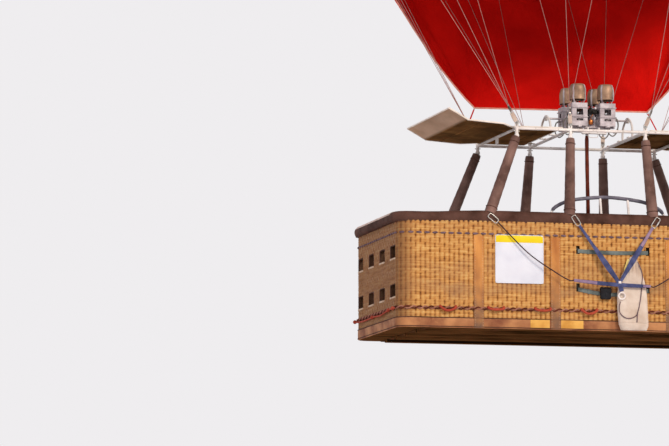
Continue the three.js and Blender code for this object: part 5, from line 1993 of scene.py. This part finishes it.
  def on_bag(self, x: float, z: float, lift: float) -> Vector:
    """The point of the bag's front behind a place, standing off by lift."""
    middle, half, _ = self.bag_span(z)
    d = max(-0.995, min(0.995, (x - middle) / half))
    c = copysign(abs(d) ** (1 / 0.62), d)
    turn = atan2(-sqrt(1 - c * c), c) / (2 * pi) % 1.0
    return self.bag_at(turn, (z - self.bag_foot) / self.bag_tall, lift)

  def bag_at(self, u: float, v: float, lift: float = 0.0) -> Vector:
    """A point of the bag's cloth.

    Args:
      u: The way round from 0 to 1, with 0.75 at the middle of its front.
      v: From 0 at its foot to 1 at its neck.
      lift: How far it stands off the cloth.

    Returns:
      The point.
    """
    z = self.bag_foot + self.bag_tall * v
    middle, half, ease = self.bag_span(z)
    depth = self.bag_depth / 2 * (1 - 0.65 * min(1, max(0, (z - 0.15) / 0.61))) * (0.7 + 0.3 * ease)
    c, s = cos(2 * pi * u), sin(2 * pi * u)
    x = middle + half * copysign(abs(c) ** 0.62, c)
    y = self.bag_back - depth + depth * copysign(abs(s) ** 0.8, s)
    if s < 0.2:
      tuck = exp(-((v - 0.84) / 0.12) ** 2) * sin(x * 160)
      lift += 0.006 * (ripple(x * 9, z * 7, 2.0) + tuck) + 0.004 * ripple(x * 26, z * 16)
    return spot(x, y, z) + Vector((c * 0.5, s, 0)).normalized() * lift

  def bag(self) -> None:
    """Makes the canvas bag with its seams, its neck and its dark cord."""
    bm = bmesh.new()
    bmesh.ops.remove_doubles(bm, verts=surface(bm, 96, 90, self.bag_at), dist=1e-6)
    cap(bm)
    keep("canvas_bag", bm, CANVAS, node="line_bag")
    bm = bmesh.new()
    for u in (0, 0.5):
      pipe(bm, [self.bag_at(u, i / 60, 0.001) for i in range(61)], 0.0035, 6)
    pipe(bm, [self.bag_at(0.5 + 0.5 * i / 40, 0.1, 0.001) for i in range(41)], 0.003, 6)
    pipe(bm, [self.bag_at(i / 48, 0.965, 0.001) for i in range(48)], 0.0055, 8, closed=True)
    keep("bag_seams", bm, CANVAS)
    bm = bmesh.new()
    for route in self.bag_cords:
      pipe(bm, curve([self.on_bag(x, z, 0.005) for x, z in route], 6), 0.0048, 8)
    keep("bag_cord", bm, VIOLET_CORD)
    bm = bmesh.new()
    strap(bm, [self.on_bag(0.122 + 0.004 * i, 0.61 + 0.012 * i, 0.003) for i in range(11)], 0.036, 0.002, X)
    keep("bag_tab", bm, BAG_TRIM)

  def links(self) -> list[Vector]:
    """Makes the long hooks that hang on the rim.

    Returns:
      The place on each hook from which its strap or rope starts.
    """
    long, wide = self.hook_half
    ends = []
    for i, x in enumerate(self.hooks):
      aim = atan2(self.hub[0] - x, self.hook_z - self.hub[1]) * (1.0 if i % 3 else 0.8)
      down, side = Vector((sin(aim), 0, -cos(aim))), Vector((cos(aim), 0, sin(aim)))
      centre = spot(x, self.hook_y, self.hook_z)
      bm, path = bmesh.new(), []
      for k in range(44):
        a, b = (turn(pi * (k + 0.5) / 22) for turn in (cos, sin))
        path.append(centre + down * long * copysign(abs(a) ** 0.34, a)
                    + side * wide * copysign(abs(b) ** 0.34, b))
      pipe(bm, path, 0.006, closed=True)
      gate = centre + side * wide
      bar(bm, gate - down * 0.024, gate + down * 0.02, 0.0085, sides=16)
      keep(f"long_hook_{i + 1}", bm, STEEL, node=f"rim_karabiner_{i + 1}")
      ends.append(centre + down * 0.0629)
    return ends

  def webbing(self, ends: Sequence[Vector]) -> None:
    """Makes the dark blue straps, their hub stitches and the pale ring under them.

    Args:
      ends: The places on the hooks.
    """
    bm, pale = bmesh.new(), bmesh.new()
    hub, ring_at, low, high = (spot(x, self.plane, z) for x, z in (self.hub, self.ring_at, *self.cross_ends))

    def fall(end: Vector, full: float, wide: float, over: Mesh) -> None:
      """Lays a strap from a hook to the hub, widest at full, with a doubled start."""
      path = [point + Y * (0.0012 * sin(i * 0.9)) for i, point in enumerate(line(end, hub, 30))]
      strap(bm, path, lambda v: 0.028 + (wide - 0.028) * exp(-((v - full) / 0.28) ** 2), 0.004, X)
      strap(over, [point - Y * 0.0032 for point in path[:11]], 0.03, 0.003, X)

    def cross(first: int, last: int, out: float) -> list[Vector]:
      """A stretch of the level strap's line."""
      return [low.lerp(high, i / 30) + Vector((0, -0.004 - out, -0.01 * sin(pi * i / 30)))
              for i in range(first, last + 1)]

    fall(ends[1], 0.68, 0.06, bm)
    fall(ends[2], 0.55, 0.056, pale)
    strap(bm, cross(0, 30, 0), lambda v: 0.04 - 0.012 * abs(2 * v - 1) ** 3, 0.0035, Z)
    strap(pale, cross(0, 9, 0.003), 0.03, 0.003, Z)
    strap(pale, cross(27, 30, 0.003), 0.024, 0.003, Z)
    strap(bm, line(hub, ring_at + Z * 0.0443, 8), 0.046, 0.004, X)
    keep("bridle_straps", bm, BLUE_WEB, node="bridle_webbing")
    keep("bridle_straps_pale", pale, PALE_WEB)
    bm = bmesh.new()
    ring(bm, ring_at, 0.034, 0.0078, Y, steps=40)
    block(bm, hub + Vector((-0.012, -0.012, -0.002)), hub + Vector((0.016, -0.006, 0.022)), 0.002)
    keep("pale_ring", bm, BAR_WHITE, node="bridle_ring")

  def ropes(self, ends: Sequence[Vector]) -> None:
    """Makes the two thin ropes from the outer hooks to the webbing.

    Args:
      ends: The places on the hooks.
    """
    for (side, s), top, (x, z) in zip(LEFT_RIGHT, ends[::3], self.cross_ends):
      stop = spot(x + s * 0.0007, self.plane, z)
      path = curve([top, top.lerp(stop, 0.4) - Z * 0.078, top.lerp(stop, 0.75) - Z * 0.062,
                    stop + X * (s * 0.05), stop], 7)
      bm = bmesh.new()
      pipe(bm, path, self.rope)
      made = keep(f"thin_rope_{side}", bm, DARK_ROPE, node=f"bridle_rope_{side}")
      tuple(path[0])
      round(reach_of(path), 3)
      [tuple(point) for point in path]


@dataclass
class GrabRail:
  """The padded rail over the pilot's place."""

  y: float = -0.7
  top: float = 1.38
  half: Profile = ((1.1514, 0.607), (1.2174, 0.595), (1.272, 0.545), (1.327, 0.43), (1.36, 0.262), (1.38, 0))
  tube: float = 0.012
  posts: Sizes = (-0.08, 0.212)
  pad: float = 0.0185

  def build(self) -> None:
    """Builds the rail, its pad and its posts."""
    bm = bmesh.new()
    path = curve([spot(x, self.y, z) for z, x in mirrored(self.half)], 7)
    pipe(bm, path, self.tube, 14)
    for x in self.posts:
      bar(bm, spot(x, self.y, self.top - 0.004), spot(x, -0.7565, 1.116), 0.0125, sides=18)
    keep("rail_tube", bm, WHITE_PAINT, node="grab_rail")
    bm = bmesh.new()
    pipe(bm, path[8:-8], lambda v: self.pad + 0.0006 * sin(v * 240) - 0.004 * (v < 0.02 or v > 0.98), 14)
    keep("rail_pad", bm, RAIL_PAD)


# Studio


@dataclass
class Studio:
  """The plain pale floor, the soft light and the camera of the photograph."""

  camera_at: tuple[float, float, float] = (-13.84, -44.83, -4.06)
  yaw: float = radians(13.97)
  pitch: float = radians(6.4)
  lens: float = 245.9
  floor_gap: float = 0.25
  floor_reach: float = 4000.0
  glow: Rows = ((0.2, "#efedef"), (0.9, "#a9b3c6"))
  suns: Rows = (("key", 1.85, 16.0, (60.0, 0, 24.0), (1, 0.88, 0.72)),
                ("fill", 0.5, 60.0, (62.0, 0, -30.0), (1, 0.96, 0.9)))

  def build(self) -> None:
    """Sets the camera, the floor and the light."""
    bpy.context.scene.view_settings.view_transform = "Standard"
    lens = bpy.data.cameras.new("camera")
    lens.lens, lens.sensor_width, lens.clip_end = self.lens, 36.0, 20000.0
    camera = self.place("camera", lens)
    camera.location = spot(*self.camera_at)
    look = swing(cos(self.pitch), pi / 2 - self.yaw, sin(self.pitch))
    camera.rotation_euler = look.to_track_quat("-Z", "Y").to_euler()
    bpy.context.scene.camera = camera
    self.floor()
    self.light()

  def place(self, name: str, data: bpy.types.ID) -> Piece:
    """Puts a thing that belongs to the studio into the scene."""
    made = bpy.data.objects.new(name, data)
    bpy.context.scene.collection.objects.link(made)
    return made

  def floor(self) -> None:
    """Lays the floor under the camera's foot."""
    bm = bmesh.new()
    level = spot(0, 0, self.camera_at[2] - self.floor_gap)
    bmesh.ops.create_grid(bm, x_segments=8, y_segments=8, size=self.floor_reach,
                          matrix=Matrix.Translation(level))
    mesh = bpy.data.meshes.new("studio_floor")
    bm.to_mesh(mesh)
    bm.free()
    graph = Graph("studio_floor")
    tone = graph.ramp(graph.noise(0.02, 2.0), [(0.3, "#e4e1dc"), (0.7, "#ebe8e4")])
    graph.put(tone, graph.shader.inputs["Base Color"])
    graph.put(0.9, graph.shader.inputs["Roughness"])
    mesh.materials.append(graph.material)
    self.place("studio_floor", mesh)

  def light(self) -> None:
    """Sets the sky's glow and two soft suns."""
    world = bpy.data.worlds.new("studio")
    world.use_nodes = True
    nodes, links = world.node_tree.nodes, world.node_tree.links
    up = nodes.new("ShaderNodeSeparateXYZ")
    links.new(nodes.new("ShaderNodeTexCoord").outputs["Generated"], up.inputs[0])
    glow = nodes.new("ShaderNodeValToRGB")
    for element, (position, tone) in zip(glow.color_ramp.elements, self.glow):
      element.position, element.color = position, (*tint(tone), 1)
    links.new(up.outputs["Z"], glow.inputs["Fac"])
    links.new(glow.outputs["Color"], nodes["Background"].inputs["Color"])
    bpy.context.scene.world = world
    for name, power, width, turn, colour in self.suns:
      sun = bpy.data.lights.new(name, "SUN")
      sun.energy, sun.angle, sun.color = power, radians(width), colour
      self.place(name, sun).rotation_euler = tuple(map(radians, turn))


def main() -> None:
  """Builds the studio and every sub-assembly in order."""
  logging.basicConfig(level=logging.INFO, format="%(message)s")
  Studio().build()
  for maker in (FrontGear, Fuel, Basket, Uprights, LoadFrame, Burner, Rigging, Envelope, Scoop, GrabRail):
    before = set(bpy.data.objects)
    maker().build()
    for piece in bpy.data.objects:
      if piece not in before:
        log.info("%s: %s, %d faces", maker.__name__, piece.name, len(piece.data.polygons))


if __name__ == "__main__":
  main()
